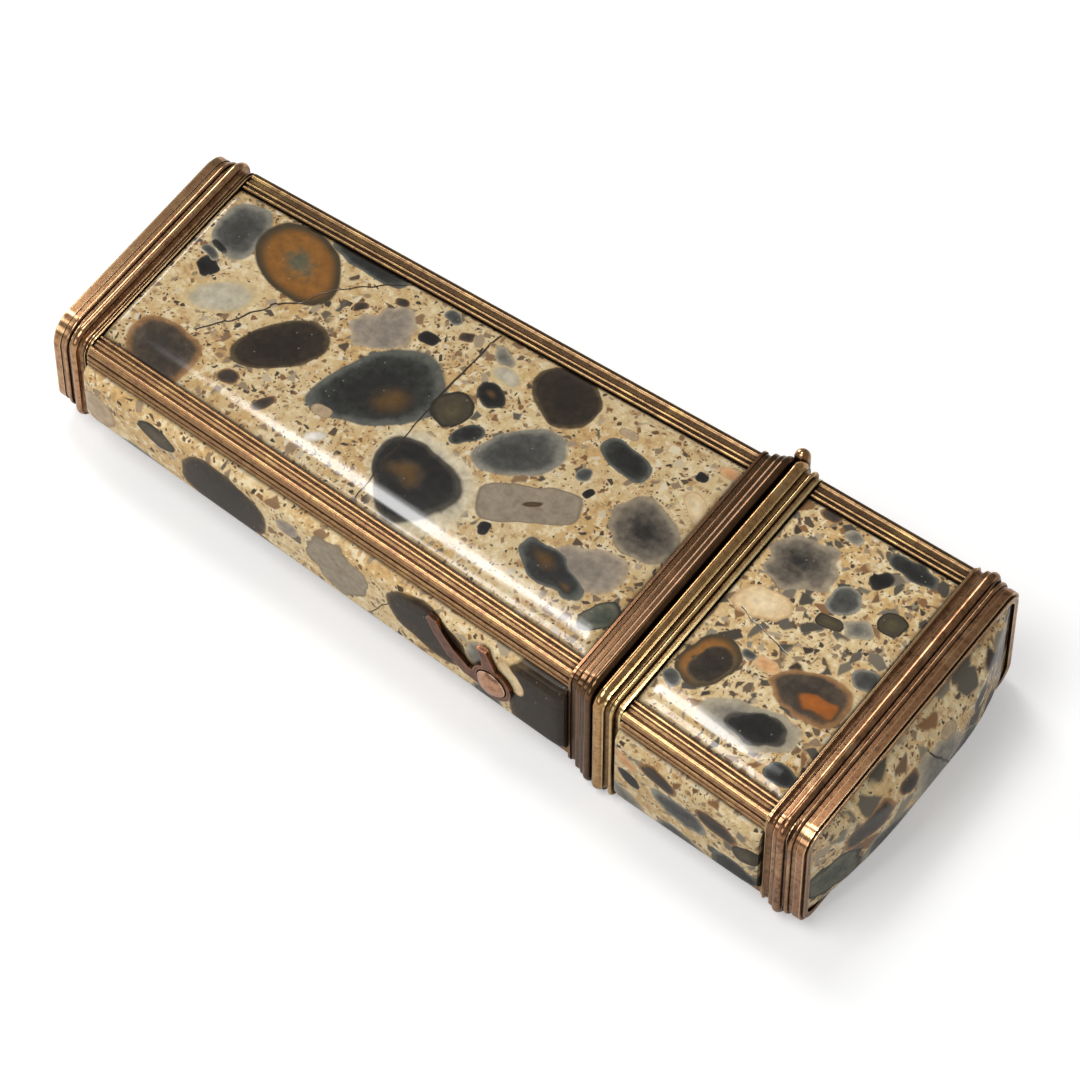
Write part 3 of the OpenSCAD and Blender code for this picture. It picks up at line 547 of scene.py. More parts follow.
class Kind(Enum):
    """Sorts of pebble in the stone."""

    SLATE = PebbleLook(tone(64, 63, 59), tone(84, 83, 77), tone(134, 129, 115), 0.5, 0.2, 0.08, 0.36)
    DARK = PebbleLook(tone(36, 35, 32), tone(52, 52, 48), tone(92, 92, 84), 0.6, 0.16, 0.05, 0.3)
    OCHRE = PebbleLook(tone(96, 92, 70), tone(136, 90, 38), tone(70, 58, 38), 0.26, 0.2, 0.05, 0.2)
    PALE = PebbleLook(tone(184, 174, 152), tone(180, 168, 142), tone(200, 176, 130), 0.55, 0.2, 0.1, 0.3)
    BROWN = PebbleLook(tone(42, 34, 25), tone(52, 42, 31), tone(84, 69, 47), 0.6, 0.1, 0.05, 0.3)
    UMBER = PebbleLook(tone(58, 50, 42), tone(78, 66, 53), tone(146, 107, 68), 0.56, 0.16, 0.08, 0.36)
    MAUVE = PebbleLook(tone(132, 121, 108), tone(150, 137, 120), tone(170, 152, 126), 0.5, 0.16, 0.08, 0.35)
    GREY = PebbleLook(tone(104, 100, 90), tone(128, 121, 107), tone(162, 150, 126), 0.4, 0.25, 0.1, 0.3)
    SMOKE = PebbleLook(tone(42, 38, 35), tone(110, 100, 86), tone(146, 132, 110), 0.46, 0.16, 0.06, 0.44)
    HALO = PebbleLook(tone(124, 116, 102), tone(162, 152, 132), tone(208, 194, 164), 0.6, 0.3, 0.24, 0.3)
    FELSITE = PebbleLook(tone(138, 121, 99), tone(144, 130, 110), tone(126, 112, 92), 0.2, 0.06, 0.04)
    RUST = PebbleLook(tone(94, 68, 34), tone(76, 58, 34), tone(56, 46, 34), 0.3, 0.4, 0.4, 0.3)
    EMBER = PebbleLook(tone(158, 88, 30), tone(146, 84, 34), tone(84, 60, 38), 0.5, 0.2, 0.2, 0.3)
    GREEN = PebbleLook(tone(70, 74, 62), tone(98, 97, 80), tone(52, 50, 42), 0.5, 0.14, 0.06, 0.3)
    PEACH = PebbleLook(tone(204, 152, 102), tone(208, 162, 114), tone(198, 162, 118), 0.5, 0.2, 0.12)
    CREAM = PebbleLook(tone(222, 200, 160), tone(214, 186, 142), tone(190, 156, 112), 0.5, 0.12, 0.08)
    WHITE = PebbleLook(tone(228, 222, 210), tone(216, 206, 188), tone(200, 184, 156), 0.5, 0.2, 0.15)
    OLIVE = PebbleLook(tone(82, 72, 50), tone(70, 62, 46), tone(46, 41, 33), 0.4, 0.15)
    BLACK = PebbleLook(tone(28, 26, 23), tone(37, 34, 30), tone(72, 67, 58), 0.6, 0.13, 0.07, 0.3)
    BEIGE = PebbleLook(tone(168, 145, 116), tone(176, 152, 120), tone(150, 124, 94), 0.5, 0.12, 0.08)


@dataclass(frozen=True)
class Pebble:
    """A pebble's place on its face in millimetres, its size, its turn in degrees and its sort."""

    x: float
    y: float
    long: float
    wide: float
    turn: float
    kind: Kind
    square: float = 2.3
    ragged: float = 1.2
    taper: float = 0.0

    def direction(self, swing: float, size: float) -> tuple[float, float, float]:
        """Give the vector that measures how far a place is along one of the pebble's axes.

        Args:
            swing: the axis's angle from the pebble's long one, in degrees.
            size: the pebble's size along that axis.

        Returns:
            The vector, which measures 1 at the pebble's edge.
        """
        angle = math.radians(self.turn + swing)
        return (math.cos(angle) * 2 / size, math.sin(angle) * 2 / size, 0.0)


@dataclass(frozen=True)
class Crack:
    """A crack's two ends on its face in millimetres, and its width."""

    start: tuple[float, float]
    finish: tuple[float, float]
    width: float = 0.12
    waver: float = 1.2


class Face(Enum):
    """Which two directions of the case a face's map uses."""

    FRONT = (0, 1)
    SIDE = (0, 2)
    END = (1, 2)


@dataclass(frozen=True)
class StoneFinish:
    """Polished pudding stone on one face, with the pebbles and cracks that lie there."""

    name: str
    face: Face
    pebbles: tuple[Pebble, ...] = ()
    cracks: tuple[Crack, ...] = ()
    wild: float = 0.0
    wild_scales: tuple[float, ...] = (0.42, 0.24, 0.15)
    grit: float = 1.0
    # Painted light: a brightening of the face's whole colour, standing in for light the face gets too little of.
    light: float = 1.0
    gloss: float = 0.6
    roughness: float = 0.1
    refraction: float = 1.54

    def ground(self, graph: Graph, place: Socket) -> dict[str, Socket]:
        """Draw the ground with its grains.

        Args:
            graph: the material's tree.
            place: the place in millimetres.

        Returns:
            The ground's outputs by name, with the grains in its colour.
        """
        ground = GROUND.use(graph, Place=place)
        colour = ground["Color"]
        bent = graph.vector("ADD", place, graph.vector("SCALE", ground["Wobble"], 1.2))
        density = graph.noise(place, 0.11, 1.0).outputs[0]
        share = graph.step(density, 0.35, 0.65, 0.25 * self.grit, 0.6 * self.grit)
        grains = (
            (2.6, 0.6, tone(150, 112, 74), tone(120, 88, 60), tone(90, 80, 66)),
            (1.5, 0.7, tone(152, 130, 100), tone(132, 94, 60), tone(70, 60, 49)),
            (0.95, 0.7, tone(220, 204, 172), tone(140, 118, 92), tone(88, 72, 56)),
            (0.62, 0.45, tone(164, 146, 120), tone(134, 104, 74), tone(94, 86, 74)),
        )
        bite = None
        for scale, part, first, second, third in grains:
            grain = CLASTS.use(graph, Under=colour, Place=bent, Scale=scale, Gap=0.07, First=first, Second=second,
                               Third=third, Share=graph.maths("MULTIPLY", share, part))
            colour, bite = grain["Color"], grain["Mask"]
        if self.wild:
            colour = self.wild_pebbles(graph, colour, bent)
        return {**ground, "Color": colour, "Bite": bite}

    def wild_pebbles(self, graph: Graph, colour: Socket, place: Socket) -> Socket:
        """Spread large pebbles at random, for a face whose own pebbles aren't known.

        Args:
            graph: the material's tree.
            colour: the colour under the pebbles.
            place: the place in millimetres.

        Returns:
            The colour with the pebbles.
        """
        tones = (
            (tone(132, 122, 103), tone(84, 78, 67), tone(130, 94, 60)),
            (tone(114, 105, 89), tone(76, 70, 60), tone(60, 49, 39)),
            (tone(66, 63, 57), tone(100, 93, 79), tone(92, 68, 44)),
        )
        for scale, (first, second, third) in zip(self.wild_scales, tones):
            colour = CLASTS.use(graph, Under=colour, Place=place, Scale=scale, Share=self.wild, Gap=0.03,
                                First=first, Second=second, Third=third)["Color"]
        return colour

    def material(self) -> bpy.types.Material:
        """Build the stone's material.

        Returns:
            The material.
        """
        material, graph, shader = new_material(self.name)
        place = graph.place_mm()
        ground = self.ground(graph, place)
        colour, mottle, wobble = ground["Color"], ground["Mottle"], ground["Wobble"]
        parts = graph.split(place)
        # The coarsest grains bite a little into the pebbles' outlines
        bite = graph.maths("MULTIPLY", ground["Bite"], 0.2)
        flat = graph.join(graph.maths("ADD", parts[self.face.value[0]], bite), parts[self.face.value[1]])
        wobble_parts = graph.split(wobble)
        flat_wobble = graph.join(wobble_parts[0], wobble_parts[1])
        for pebble in self.pebbles:
            look = pebble.kind.value
            colour = PEBBLE.use(
                graph, Under=colour, Place=flat, Wobble=flat_wobble, Mottle=mottle, Middle=(pebble.x, pebble.y, 0.0),
                Along=pebble.direction(0, pebble.long), Across=pebble.direction(90, pebble.wide),
                Squareness=pebble.square, Taper=pebble.taper, Raggedness=pebble.ragged,
                Core=look.core, Body=look.body, Rim=look.rim,
                CoreShare=look.core_share, CoreSoft=look.core_soft, RimWidth=look.rim_width,
                Softness=look.softness, Specks=ground["Specks"], Light=ground["Light"])["Color"]
        lines = None
        for crack in self.cracks:
            drawn = CRACK.use(
                graph, Under=colour, Place=flat, Wobble=flat_wobble, Start=(*crack.start, 0.0),
                Finish=(*crack.finish, 0.0), Width=crack.width, Waver=crack.waver, Tone=tone(50, 39, 29))
            colour = drawn["Color"]
            lines = drawn["Mask"] if lines is None else graph.maths("MAXIMUM", lines, drawn["Mask"])
        # Painted light: the face's whole colour is scaled to stand in for the light it gets.
        if self.light != 1.0:
            colour = graph.vector("SCALE", colour, self.light)
        # Old dirt and painted shade darken the stone along its seams with the metal.
        dirt_and_shade = SEAM_DIRT_AND_SHADE.use(graph, Under=colour, Mottle=mottle, Tone=tone(52, 40, 29))
        graph.feed(shader.inputs["Base Color"], dirt_and_shade["Color"])
        haze = graph.maths("MULTIPLY_ADD", mottle, 0.06, self.roughness - 0.03)
        graph.feed(shader.inputs["Roughness"], graph.maths("MULTIPLY_ADD", dirt_and_shade["Mask"], 0.5, haze))
        shader.inputs["IOR"].default_value = self.refraction
        shader.inputs["Specular IOR Level"].default_value = self.gloss
        if lines is not None:
            bump = graph.add("ShaderNodeBump", invert=True)
            bump.inputs["Strength"].default_value = 0.3
            bump.inputs["Distance"].default_value = 0.02 * MM
            graph.feed(bump.inputs["Height"], lines)
            graph.feed(shader.inputs["Normal"], bump.outputs[0])
        return material


@dataclass(frozen=True)
class GiltFinish:
    """Aged gilt metal, from the tone of its hollows, darkened by grime and painted shade, to that of its crests,
    brightened by rubbing and a painted highlight.
    """

    name: str
    hollow: Tone = tone(64, 46, 34)
    middle: Tone = tone(206, 164, 118)
    crest: Tone = tone(255, 230, 176)
    stain: Tone = tone(176, 130, 100)
    # How strongly the hollows darken, with grime and painted shade.
    grime_and_shade: float = 1.0
    # How strongly the crests brighten, with rubbed wear and a painted highlight.
    rubbing_and_highlight: float = 1.0
    dents: float = 0.02
    dullness: float = 0.0

    def material(self) -> bpy.types.Material:
        """Build the metal's material.

        Returns:
            The material.
        """
        material, graph, shader = new_material(self.name)
        worn = WEAR_AND_PAINTED_LIGHT.use(graph, Place=graph.place_mm(), Hollow=self.hollow, Middle=self.middle, Crest=self.crest,
                        Stain=self.stain, Grime=self.grime_and_shade, Rubbed=self.rubbing_and_highlight)
        graph.feed(shader.inputs["Base Color"], worn["Color"])
        graph.feed(shader.inputs["Roughness"], graph.maths("ADD", worn["Roughness"], self.dullness))
        shader.inputs["Metallic"].default_value = 1.0
        bump = graph.add("ShaderNodeBump")
        bump.inputs["Strength"].default_value = 0.35
        bump.inputs["Distance"].default_value = self.dents * MM
        graph.feed(bump.inputs["Height"], worn["Height"])
        graph.feed(shader.inputs["Normal"], bump.outputs[0])
        return material


@dataclass(frozen=True)
class GrainFinish:
    """A plain finish with fine lines along the case: steel, ivory or wood."""

    name: str
    light: Tone
    dark: Tone
    fineness: float
    roughness: float
    metallic: float = 0.0

    def material(self) -> bpy.types.Material:
        """Build the material.

        Returns:
            The material.
        """
        material, graph, shader = new_material(self.name)
        place = graph.place_mm()
        grain = GRAIN.use(graph, Place=place, Fineness=self.fineness, Light=self.light, Dark=self.dark)
        cloud = graph.noise(place, 0.8, 4.0, 0.6).outputs[0]
        colour = graph.vector("SCALE", grain["Color"], graph.maths("MULTIPLY_ADD", cloud, 0.5, 0.75))
        graph.feed(shader.inputs["Base Color"], colour)
        graph.feed(shader.inputs["Roughness"], graph.maths("MULTIPLY_ADD", cloud, 0.25, self.roughness - 0.1))
        shader.inputs["Metallic"].default_value = self.metallic
        bump = graph.add("ShaderNodeBump")
        bump.inputs["Strength"].default_value = 0.25
        bump.inputs["Distance"].default_value = 0.02 * MM
        graph.feed(bump.inputs["Height"], grain["Value"])
        graph.feed(shader.inputs["Normal"], bump.outputs[0])
        return material


BODY_FRONT = StoneFinish(
    "agate_body_front", Face.FRONT, grit=1.2,
    pebbles=(
        Pebble(35.9, -6.9, 13.4, 10.8, -30, Kind.HALO, 2.2, 1.2, 0.3),
        Pebble(3, 6.9, 5.4, 7.3, 10, Kind.SLATE, 2.5, 0.9, 0.15),
        Pebble(10.5, 7, 11.4, 8.0, -25, Kind.OCHRE, 2.05, 0.45, -0.12),
        Pebble(16, 11.5, 9.6, 3.4, -4, Kind.DARK, 2.2, 1.0, -0.2),
        Pebble(6.5, -0.9, 8, 4, 35, Kind.PALE, 2.3, 1.2, 0.1),
        Pebble(5.6, -9.1, 8.4, 6.2, -8, Kind.UMBER, 2.8, 0.9, 0.1),
        Pebble(15, -2.1, 10.5, 5.5, 48, Kind.BROWN, 2.2, 0.7, 0.15),
        Pebble(22, 5.5, 7.4, 4.4, 58, Kind.MAUVE, 2.4, 4.0, 0.3),
        Pebble(26, -0.8, 14.6, 8.8, 47, Kind.DARK, 2.1, 0.8, 0.35),
        Pebble(28.2, -0.9, 5.4, 3.8, 40, Kind.RUST, 2.0, 2.0),
        Pebble(35, -7, 10.5, 8.2, -30, Kind.BLACK, 2.4, 0.9, 0.42),
        Pebble(34.6, -6.9, 5.2, 3.2, 20, Kind.RUST, 2.0, 2.8),
        Pebble(41.8, 9.8, 7.9, 6.6, -30, Kind.BROWN, 2.6, 1.2),
        Pebble(33.5, 1.8, 4.3, 4, 70, Kind.OLIVE, 3.0, 1.4),
        Pebble(35.5, 5.3, 3.4, 2.7, -30, Kind.BLACK, 2.6, 1.4),
        Pebble(35.5, 5.3, 1.6, 1.1, -30, Kind.RUST),
        Pebble(36.6, 0.3, 3.8, 2, 55, Kind.DARK, 2.2, 1.0, 0.2),
        Pebble(42, 1.5, 9.6, 5.6, 45, Kind.SLATE, 2.2, 0.9, 0.2),
        Pebble(46.5, -2.8, 10.5, 4.6, 30, Kind.FELSITE, 4.4, 0.8, -0.06),
        Pebble(46.6, -2.6, 2.6, 0.9, 36, Kind.RUST, 2.0, 1.6),
        Pebble(51, 7.1, 6.4, 3, -12, Kind.DARK, 3.0, 1.2, 0.1),
        Pebble(57.5, 1.3, 8.2, 6.6, -25, Kind.SMOKE, 2.3, 1.4, -0.1),
        Pebble(55.3, -5.5, 8.4, 5.2, 22, Kind.MAUVE, 2.3, 1.4, 0.1),
        Pebble(52.8, -7.6, 8.8, 3.4, -16, Kind.DARK, 2.4, 2.2, -0.1),
        Pebble(51.4, -7, 3.8, 1.8, -10, Kind.RUST, 2.0, 1.6),
        Pebble(55, -8.5, 2.2, 1.3, -20, Kind.RUST, 2.0, 1.6),
        Pebble(59.7, -9.2, 5, 2.8, 60, Kind.GREEN, 2.0, 1.2, 0.2),
        Pebble(60.3, 11.8, 2.4, 1.8, 0, Kind.PEACH),
        Pebble(60, 6.3, 4.2, 2, -40, Kind.CREAM),
        Pebble(26.5, 7.3, 2.3, 1.6, 0, Kind.BLACK, 2.8),
        Pebble(27, 10.9, 2.6, 1.5, -20, Kind.SLATE, 2.8),
        Pebble(58.2, 9.8, 1.5, 1.2, 0, Kind.BLACK, 3.0),
        Pebble(34, 10, 3, 1.7, -30, Kind.GREY),
        Pebble(35.5, 8.2, 3.4, 2, -10, Kind.PALE),
        Pebble(3.2, 1.4, 1.8, 2.6, 60, Kind.BLACK, 3.0, 1.8),
        Pebble(2.0, 2.8, 1.2, 2.4, 70, Kind.SLATE, 2.6, 1.8),
        Pebble(2.4, 4.0, 1.0, 2.0, 60, Kind.DARK, 2.6, 1.8),
        Pebble(13.2, -8.2, 2.4, 2, 0, Kind.UMBER),
        Pebble(17.8, -8.6, 3, 1.3, 60, Kind.UMBER, 3.0),
        Pebble(21.6, 9.2, 1.6, 1.2, 20, Kind.UMBER, 3.0),
        Pebble(18.6, 6.4, 1.5, 1.1, 40, Kind.UMBER, 3.0),
        Pebble(24.4, -8.6, 2.6, 1.4, 40, Kind.WHITE),
        Pebble(23.2, -6.0, 2.2, 1.5, 10, Kind.BEIGE),
        Pebble(29.6, 9.6, 1.5, 1.2, 20, Kind.UMBER, 3.0),
        Pebble(48.6, 3.2, 1.6, 1.4, 20, Kind.SLATE, 2.8),
        Pebble(50.4, 1.7, 1.4, 1.1, 60, Kind.BLACK, 3.0),
        Pebble(44.6, -7.6, 1.2, 1.6, 20, Kind.BLACK, 2.8),
        Pebble(49.5, 9.8, 2.2, 1.2, 10, Kind.BEIGE),
    ),
    cracks=(
        Crack((13, 3), (7, -5.5), 0.16), Crack((16, 7), (21, 12), 0.13), Crack((13, 3), (16, 7), 0.08),
        Crack((32, 12), (31.6, 2.5), 0.18, 0.5), Crack((31.6, 2.5), (32, -12), 0.12, 0.6),
    ),
)
# A finish's light value is painted light on that face.
LID_FRONT = StoneFinish(
    "agate_lid_front", Face.FRONT, grit=1.3, light=1.18, wild=0.3, wild_scales=(0.85, 0.55),
    pebbles=(
        Pebble(72, 7.5, 7.4, 6, 20, Kind.SMOKE, 2.4, 3.0),
        Pebble(71.5, 1.5, 6, 3.7, 15, Kind.CREAM, 2.4, 1.6),
        Pebble(71, -7, 6.6, 5.2, 70, Kind.OCHRE, 2.2),
        Pebble(71.5, -7.2, 5, 3.6, 70, Kind.BROWN, 2.1),
        Pebble(81, -4.3, 8.9, 5.6, 10, Kind.UMBER, 2.1, 1.4, 0.35),
        Pebble(82.3, -4.8, 4.4, 3, 20, Kind.EMBER, 2.0, 3.2),
        Pebble(78.4, -10.4, 10.5, 5, 15, Kind.GREY, 2.3, 1.6),
        Pebble(79, -10.3, 6.6, 3.6, 15, Kind.BLACK, 2.0, 2.0),
        Pebble(77.7, 6.4, 3.6, 2.9, 30, Kind.SLATE, 2.6, 1.6),
        Pebble(79.3, 10.4, 2.6, 1.8, 60, Kind.BLACK, 3.0),
        Pebble(83, 7, 2.9, 2.5, 10, Kind.OLIVE, 3.0),
        Pebble(78, 3.6, 3.1, 1.7, 0, Kind.OLIVE, 3.0),
        Pebble(80.7, 4.5, 2.8, 2.4, 30, Kind.GREY, 3.0),
        Pebble(81, 13.4, 6, 2.2, 0, Kind.DARK, 2.6, 1.8),
        Pebble(71, 13.8, 2.6, 1.6, 0, Kind.UMBER),
        Pebble(74.3, 12.9, 2.2, 1.4, -20, Kind.GREY, 3.0),
        Pebble(75.8, -4, 2.8, 1.9, 10, Kind.PEACH),
        Pebble(73.7, -4.2, 1.6, 1.2, 0, Kind.SLATE),
        Pebble(84, -13, 3.4, 2.4, 10, Kind.DARK),
        Pebble(84.5, 0.5, 3, 2.2, 30, Kind.SLATE, 2.6),
        Pebble(69.3, -10.6, 2.2, 1.8, 0, Kind.SLATE),
    ),
    cracks=(Crack((70, 0), (77, -2), 0.08, 1.6),),
)
BODY_SIDE = StoneFinish(
    "agate_body_side", Face.SIDE, grit=0.8, light=1.25, gloss=0.12,
    pebbles=(
        Pebble(1.7, -0.5, 4.2, 5, 20, Kind.BEIGE),
        Pebble(9.5, 1.8, 4.8, 3, -10, Kind.OLIVE),
        Pebble(8.5, -4.2, 9, 3.2, -8, Kind.SLATE, 2.2),
        Pebble(18.2, -0.7, 11.4, 8.3, -12, Kind.BROWN, 2.2),
        Pebble(16, -5.9, 6, 2, 0, Kind.SLATE),
        Pebble(33, 0.5, 7.6, 7, -20, Kind.FELSITE, 2.4, 2.2),
        Pebble(26.5, 1.5, 3.4, 2.2, 20, Kind.MAUVE),
        Pebble(44.4, 1, 10.5, 7, -12, Kind.BROWN, 2.3),
        Pebble(51, 2.2, 3.4, 4.4, 0, Kind.GREY, 2.6),
        Pebble(59.4, -0.6, 10, 14, 8, Kind.BROWN, 3.0),
        Pebble(54.6, 2.2, 3.2, 4.8, 30, Kind.CREAM, 2.0, 1.6, 0.3),
        Pebble(52, -4, 4, 2.4, 0, Kind.SLATE),
        Pebble(38, -4.5, 3.2, 1.8, -20, Kind.GREY),
        Pebble(24, -4.2, 4, 1.8, -10, Kind.UMBER),
    ),
    cracks=(Crack((39.5, 0.8), (35.5, -6), 0.1), Crack((21.4, 3.6), (23.5, -1), 0.08)),
)
LID_SIDE = StoneFinish(
    "agate_lid_side", Face.SIDE, light=1.1, wild=0.25, wild_scales=(0.6,), gloss=0.12,
    pebbles=(
        Pebble(76.2, 0.2, 7, 3.4, -10, Kind.SLATE, 2.2),
        Pebble(69.5, -3.7, 5, 2.6, -20, Kind.GREY, 2.2),
        Pebble(76.5, -4.6, 6.4, 2.8, -6, Kind.SLATE, 2.2),
        Pebble(83, -3.8, 6, 4, -10, Kind.DARK, 2.4),
        Pebble(69.5, 3, 3.2, 1.8, -20, Kind.PEACH),
        Pebble(73.5, 3.6, 4.4, 2.2, -14, Kind.UMBER, 2.4),
        Pebble(80.5, 2.2, 5.4, 2.6, -10, Kind.UMBER, 2.4),
        Pebble(84.2, 0.6, 3.4, 3.0, 20, Kind.OLIVE, 2.6),
        Pebble(73, -5.6, 4.2, 2.2, 6, Kind.UMBER, 2.4),
        Pebble(70, 0.2, 3.4, 1.8, -30, Kind.BLACK, 2.2),
    ),
)
LID_END = StoneFinish(
    "agate_lid_end", Face.END, wild=0.55, wild_scales=(0.3, 0.2), grit=1.4, light=1.35, gloss=0.15,
    pebbles=(
        Pebble(-14, -2.4, 6.5, 6, 20, Kind.GREEN, 2.6, 2.4),
        Pebble(-9.6, 2.2, 6.8, 4.2, 10, Kind.UMBER, 2.6, 2.0),
        Pebble(-7, -3.4, 8, 5.4, 10, Kind.SLATE, 2.6, 2.4),
        Pebble(0.5, 0.4, 8.4, 6.6, -10, Kind.GREY, 2.8, 2.4),
        Pebble(5.2, -2.6, 5, 5.6, 30, Kind.SLATE, 2.8, 2.2),
        Pebble(11, -4.6, 5, 3.6, 40, Kind.BROWN, 2.4, 1.8),
        Pebble(15, 1, 3.6, 5, 20, Kind.UMBER, 2.4, 1.8),
        Pebble(8.6, 1.8, 3.2, 2.6, 0, Kind.DARK, 2.6),
        Pebble(-4, 3, 3.2, 2, 0, Kind.UMBER, 2.6),
        Pebble(-3.4, -5.2, 4, 2.4, 10, Kind.UMBER, 2.4),
        Pebble(3, 3.4, 2.4, 1.6, 0, Kind.BEIGE),
    ),
    cracks=(Crack((-0.5, 3.5), (3, -2), 0.2), Crack((3, -2), (5.5, -8), 0.34)),
)


def strewn(seed: int, low: tuple[float, float], high: tuple[float, float], count: int,
           largest: float = 12.0) -> tuple[Pebble, ...]:
    """Strew pebbles over a face that the photograph doesn't show, large ones first and clear of one another.

    Args:
        seed: starts the row of chance numbers, so that the face is the same each time.
        low: the lowest corner of the face in millimetres.
        high: the highest corner.
        count: how many pebbles.
        largest: the length of the largest pebble in millimetres.

    Returns:
        The pebbles.
    """
    chance = Random(seed)
    kinds = (
        Kind.DARK, Kind.SLATE, Kind.BROWN, Kind.OCHRE, Kind.GREY, Kind.SMOKE, Kind.MAUVE, Kind.UMBER, Kind.DARK,
        Kind.FELSITE, Kind.PALE, Kind.BLACK, Kind.OLIVE, Kind.SLATE, Kind.CREAM, Kind.UMBER, Kind.PEACH,
    )
    pebbles: list[Pebble] = []
    for _ in range(count * 40):
        if len(pebbles) == count:
            break
        size = 1.8 + (largest - 1.8) * (1.0 - len(pebbles) / count) ** 1.8
        long = size * chance.uniform(0.85, 1.1)
        wide = long * chance.uniform(0.5, 0.8)
        x, y = chance.uniform(low[0], high[0]), chance.uniform(low[1], high[1])
        if all(math.dist((x, y), (other.x, other.y)) > (long + other.long) * 0.48 for other in pebbles):
            pebbles.append(Pebble(
                x, y, long, wide, chance.uniform(-60.0, 60.0), kinds[len(pebbles) % len(kinds)],
                chance.uniform(2.1, 3.0), chance.uniform(0.7, 1.8), chance.uniform(-0.25, 0.25)))
    return tuple(pebbles)


BODY_BACK = StoneFinish("agate_body_back", Face.FRONT, strewn(11, (1.0, -12.0), (62.0, 12.0), 34))
LID_BACK = StoneFinish("agate_lid_back", Face.FRONT, strewn(5, (69.0, -13.0), (86.0, 13.0), 18, 7.0), grit=1.3)
BODY_FAR_SIDE = StoneFinish("agate_body_far_side", Face.SIDE, strewn(3, (1.0, -4.5), (62.0, 4.5), 22, 9.0), light=1.1)
LID_FAR_SIDE = StoneFinish("agate_lid_far_side", Face.SIDE, strewn(8, (69.0, -4.5), (86.0, 4.5), 12, 6.0), light=1.1)
BASE_END = StoneFinish("agate_base_end", Face.END, strewn(21, (-10.0, -3.5), (10.0, 3.5), 12, 6.5), light=1.1)

STRIP_GILT = GiltFinish("gilt_strips", middle=tone(170, 132, 92), crest=tone(238, 198, 134), stain=tone(144, 106, 80),
                        grime_and_shade=1.25, dents=0.006, dullness=0.08)
# Painted shade: the far strips are the near strips' gilding in darker tones.
SHADED_FAR_STRIP_GILT = GiltFinish("gilt_far_strips_shaded", middle=tone(120, 95, 67), crest=tone(218, 182, 116),
                            stain=tone(98, 74, 54), grime_and_shade=1.5, dents=0.006, dullness=0.04)
BODY_RIM_GILT = GiltFinish("gilt_body_rim", middle=tone(112, 82, 58), crest=tone(178, 130, 96),
                           stain=tone(96, 74, 50), grime_and_shade=1.4, dents=0.006)
LID_RIM_GILT = GiltFinish("gilt_lid_rim", middle=tone(208, 164, 108), crest=tone(255, 232, 168),
                          stain=tone(168, 124, 82), dents=0.006)
BAND_GILT = GiltFinish("gilt_bands", middle=tone(200, 154, 112), crest=tone(255, 218, 160), stain=tone(150, 106, 78),
                       grime_and_shade=1.15, dents=0.006)
END_BAND_GILT = GiltFinish("gilt_end_band", middle=tone(176, 128, 92), crest=tone(255, 216, 164),
                           stain=tone(116, 84, 58), grime_and_shade=1.3, dents=0.006)
MOUNT_GILT = GiltFinish("gilt_mount", middle=tone(118, 78, 58), crest=tone(180, 124, 94), stain=tone(84, 56, 44), dents=0.06)
BUTTON_GILT = GiltFinish("gilt_button", middle=tone(206, 158, 128), crest=tone(240, 204, 172), grime_and_shade=0.8)
LINING_METAL = GiltFinish("lining_brass", middle=tone(196, 158, 98), crest=tone(226, 192, 130), stain=tone(166, 126, 76))
STEEL = GrainFinish("old_steel", tone(176, 176, 178), tone(112, 110, 108), 5.0, 0.32, 1.0)
IVORY = GrainFinish("ivory", tone(232, 218, 184), tone(206, 184, 142), 3.0, 0.3)
CEDAR = GrainFinish("cedar", tone(158, 100, 62), tone(108, 62, 36), 1.6, 0.6)


class Workshop:
    """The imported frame, and the ways that a piece is taken from it and dressed."""

    def __init__(self) -> None:
        """Load the frame and keep its box."""
        self.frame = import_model()
        self.cad_box = [list(corner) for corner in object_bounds()]
        self.bodies = self.frame["record"]["behaviour"]["bodies"]
        self.slots = {part["node"]: part["material_slot"] for part in self.frame["record"]["subparts"]}
        self.made: dict[str, bpy.types.Material] = {}

    def finish(self, finish: Any) -> bpy.types.Material:
        """Return the finish's material, built on the first call."""
        if finish.name not in self.made:
            self.made[finish.name] = finish.material()
        return self.made[finish.name]

    def body_of(self, node: str) -> str:
        """Return the name of the body that a node rides on."""
        return next(body for body, nodes in self.bodies.items() if node in nodes)

    def select_only(self, piece: bpy.types.Object) -> None:
        """Select one object alone and make it the active one."""
        bpy.ops.object.select_all(action="DESELECT")
        piece.select_set(True)
        bpy.context.view_layer.objects.active = piece

    def dress(self, node: str, finish: Any) -> None:
        """Give a node of the frame a finish, as it is.

        Args:
            node: the node's name.
            finish: the finish.
        """
        mesh = self.frame["nodes"][node].data
        mesh.materials.clear()
        mesh.materials.append(self.finish(finish))

    def polish(self, node: str, finish: Any, angle: float = 35.0) -> bpy.types.Object:
        """Replace a node by a merged copy with smooth faces.

        Args:
            node: the node's name.
            finish: the copy's finish.
            angle: the largest angle in degrees between faces that are shaded as one.

        Returns:
            The copy.
        """
        source = self.frame["nodes"][node]
        piece = source.copy()
        piece.data = source.data.copy()
        for key in list(piece.keys()):
            del piece[key]
        piece.name = piece.data.name = node + "_finished"
        piece.parent = None
        piece.matrix_world = Matrix.Identity(4)
        bpy.context.scene.collection.objects.link(piece)
        self.select_only(piece)
        bpy.ops.object.mode_set(mode="EDIT")
        bpy.ops.mesh.customdata_custom_splitnormals_clear()
        bpy.ops.mesh.select_all(action="SELECT")
        bpy.ops.mesh.remove_doubles(threshold=MERGE_DISTANCE)
        bpy.ops.object.mode_set(mode="OBJECT")
        bpy.ops.object.shade_smooth_by_angle(angle=math.radians(angle))
        piece.data.materials.clear()
        piece.data.materials.append(self.finish(finish))
        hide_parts(node)
        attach(piece, self.body_of(node))
        return piece


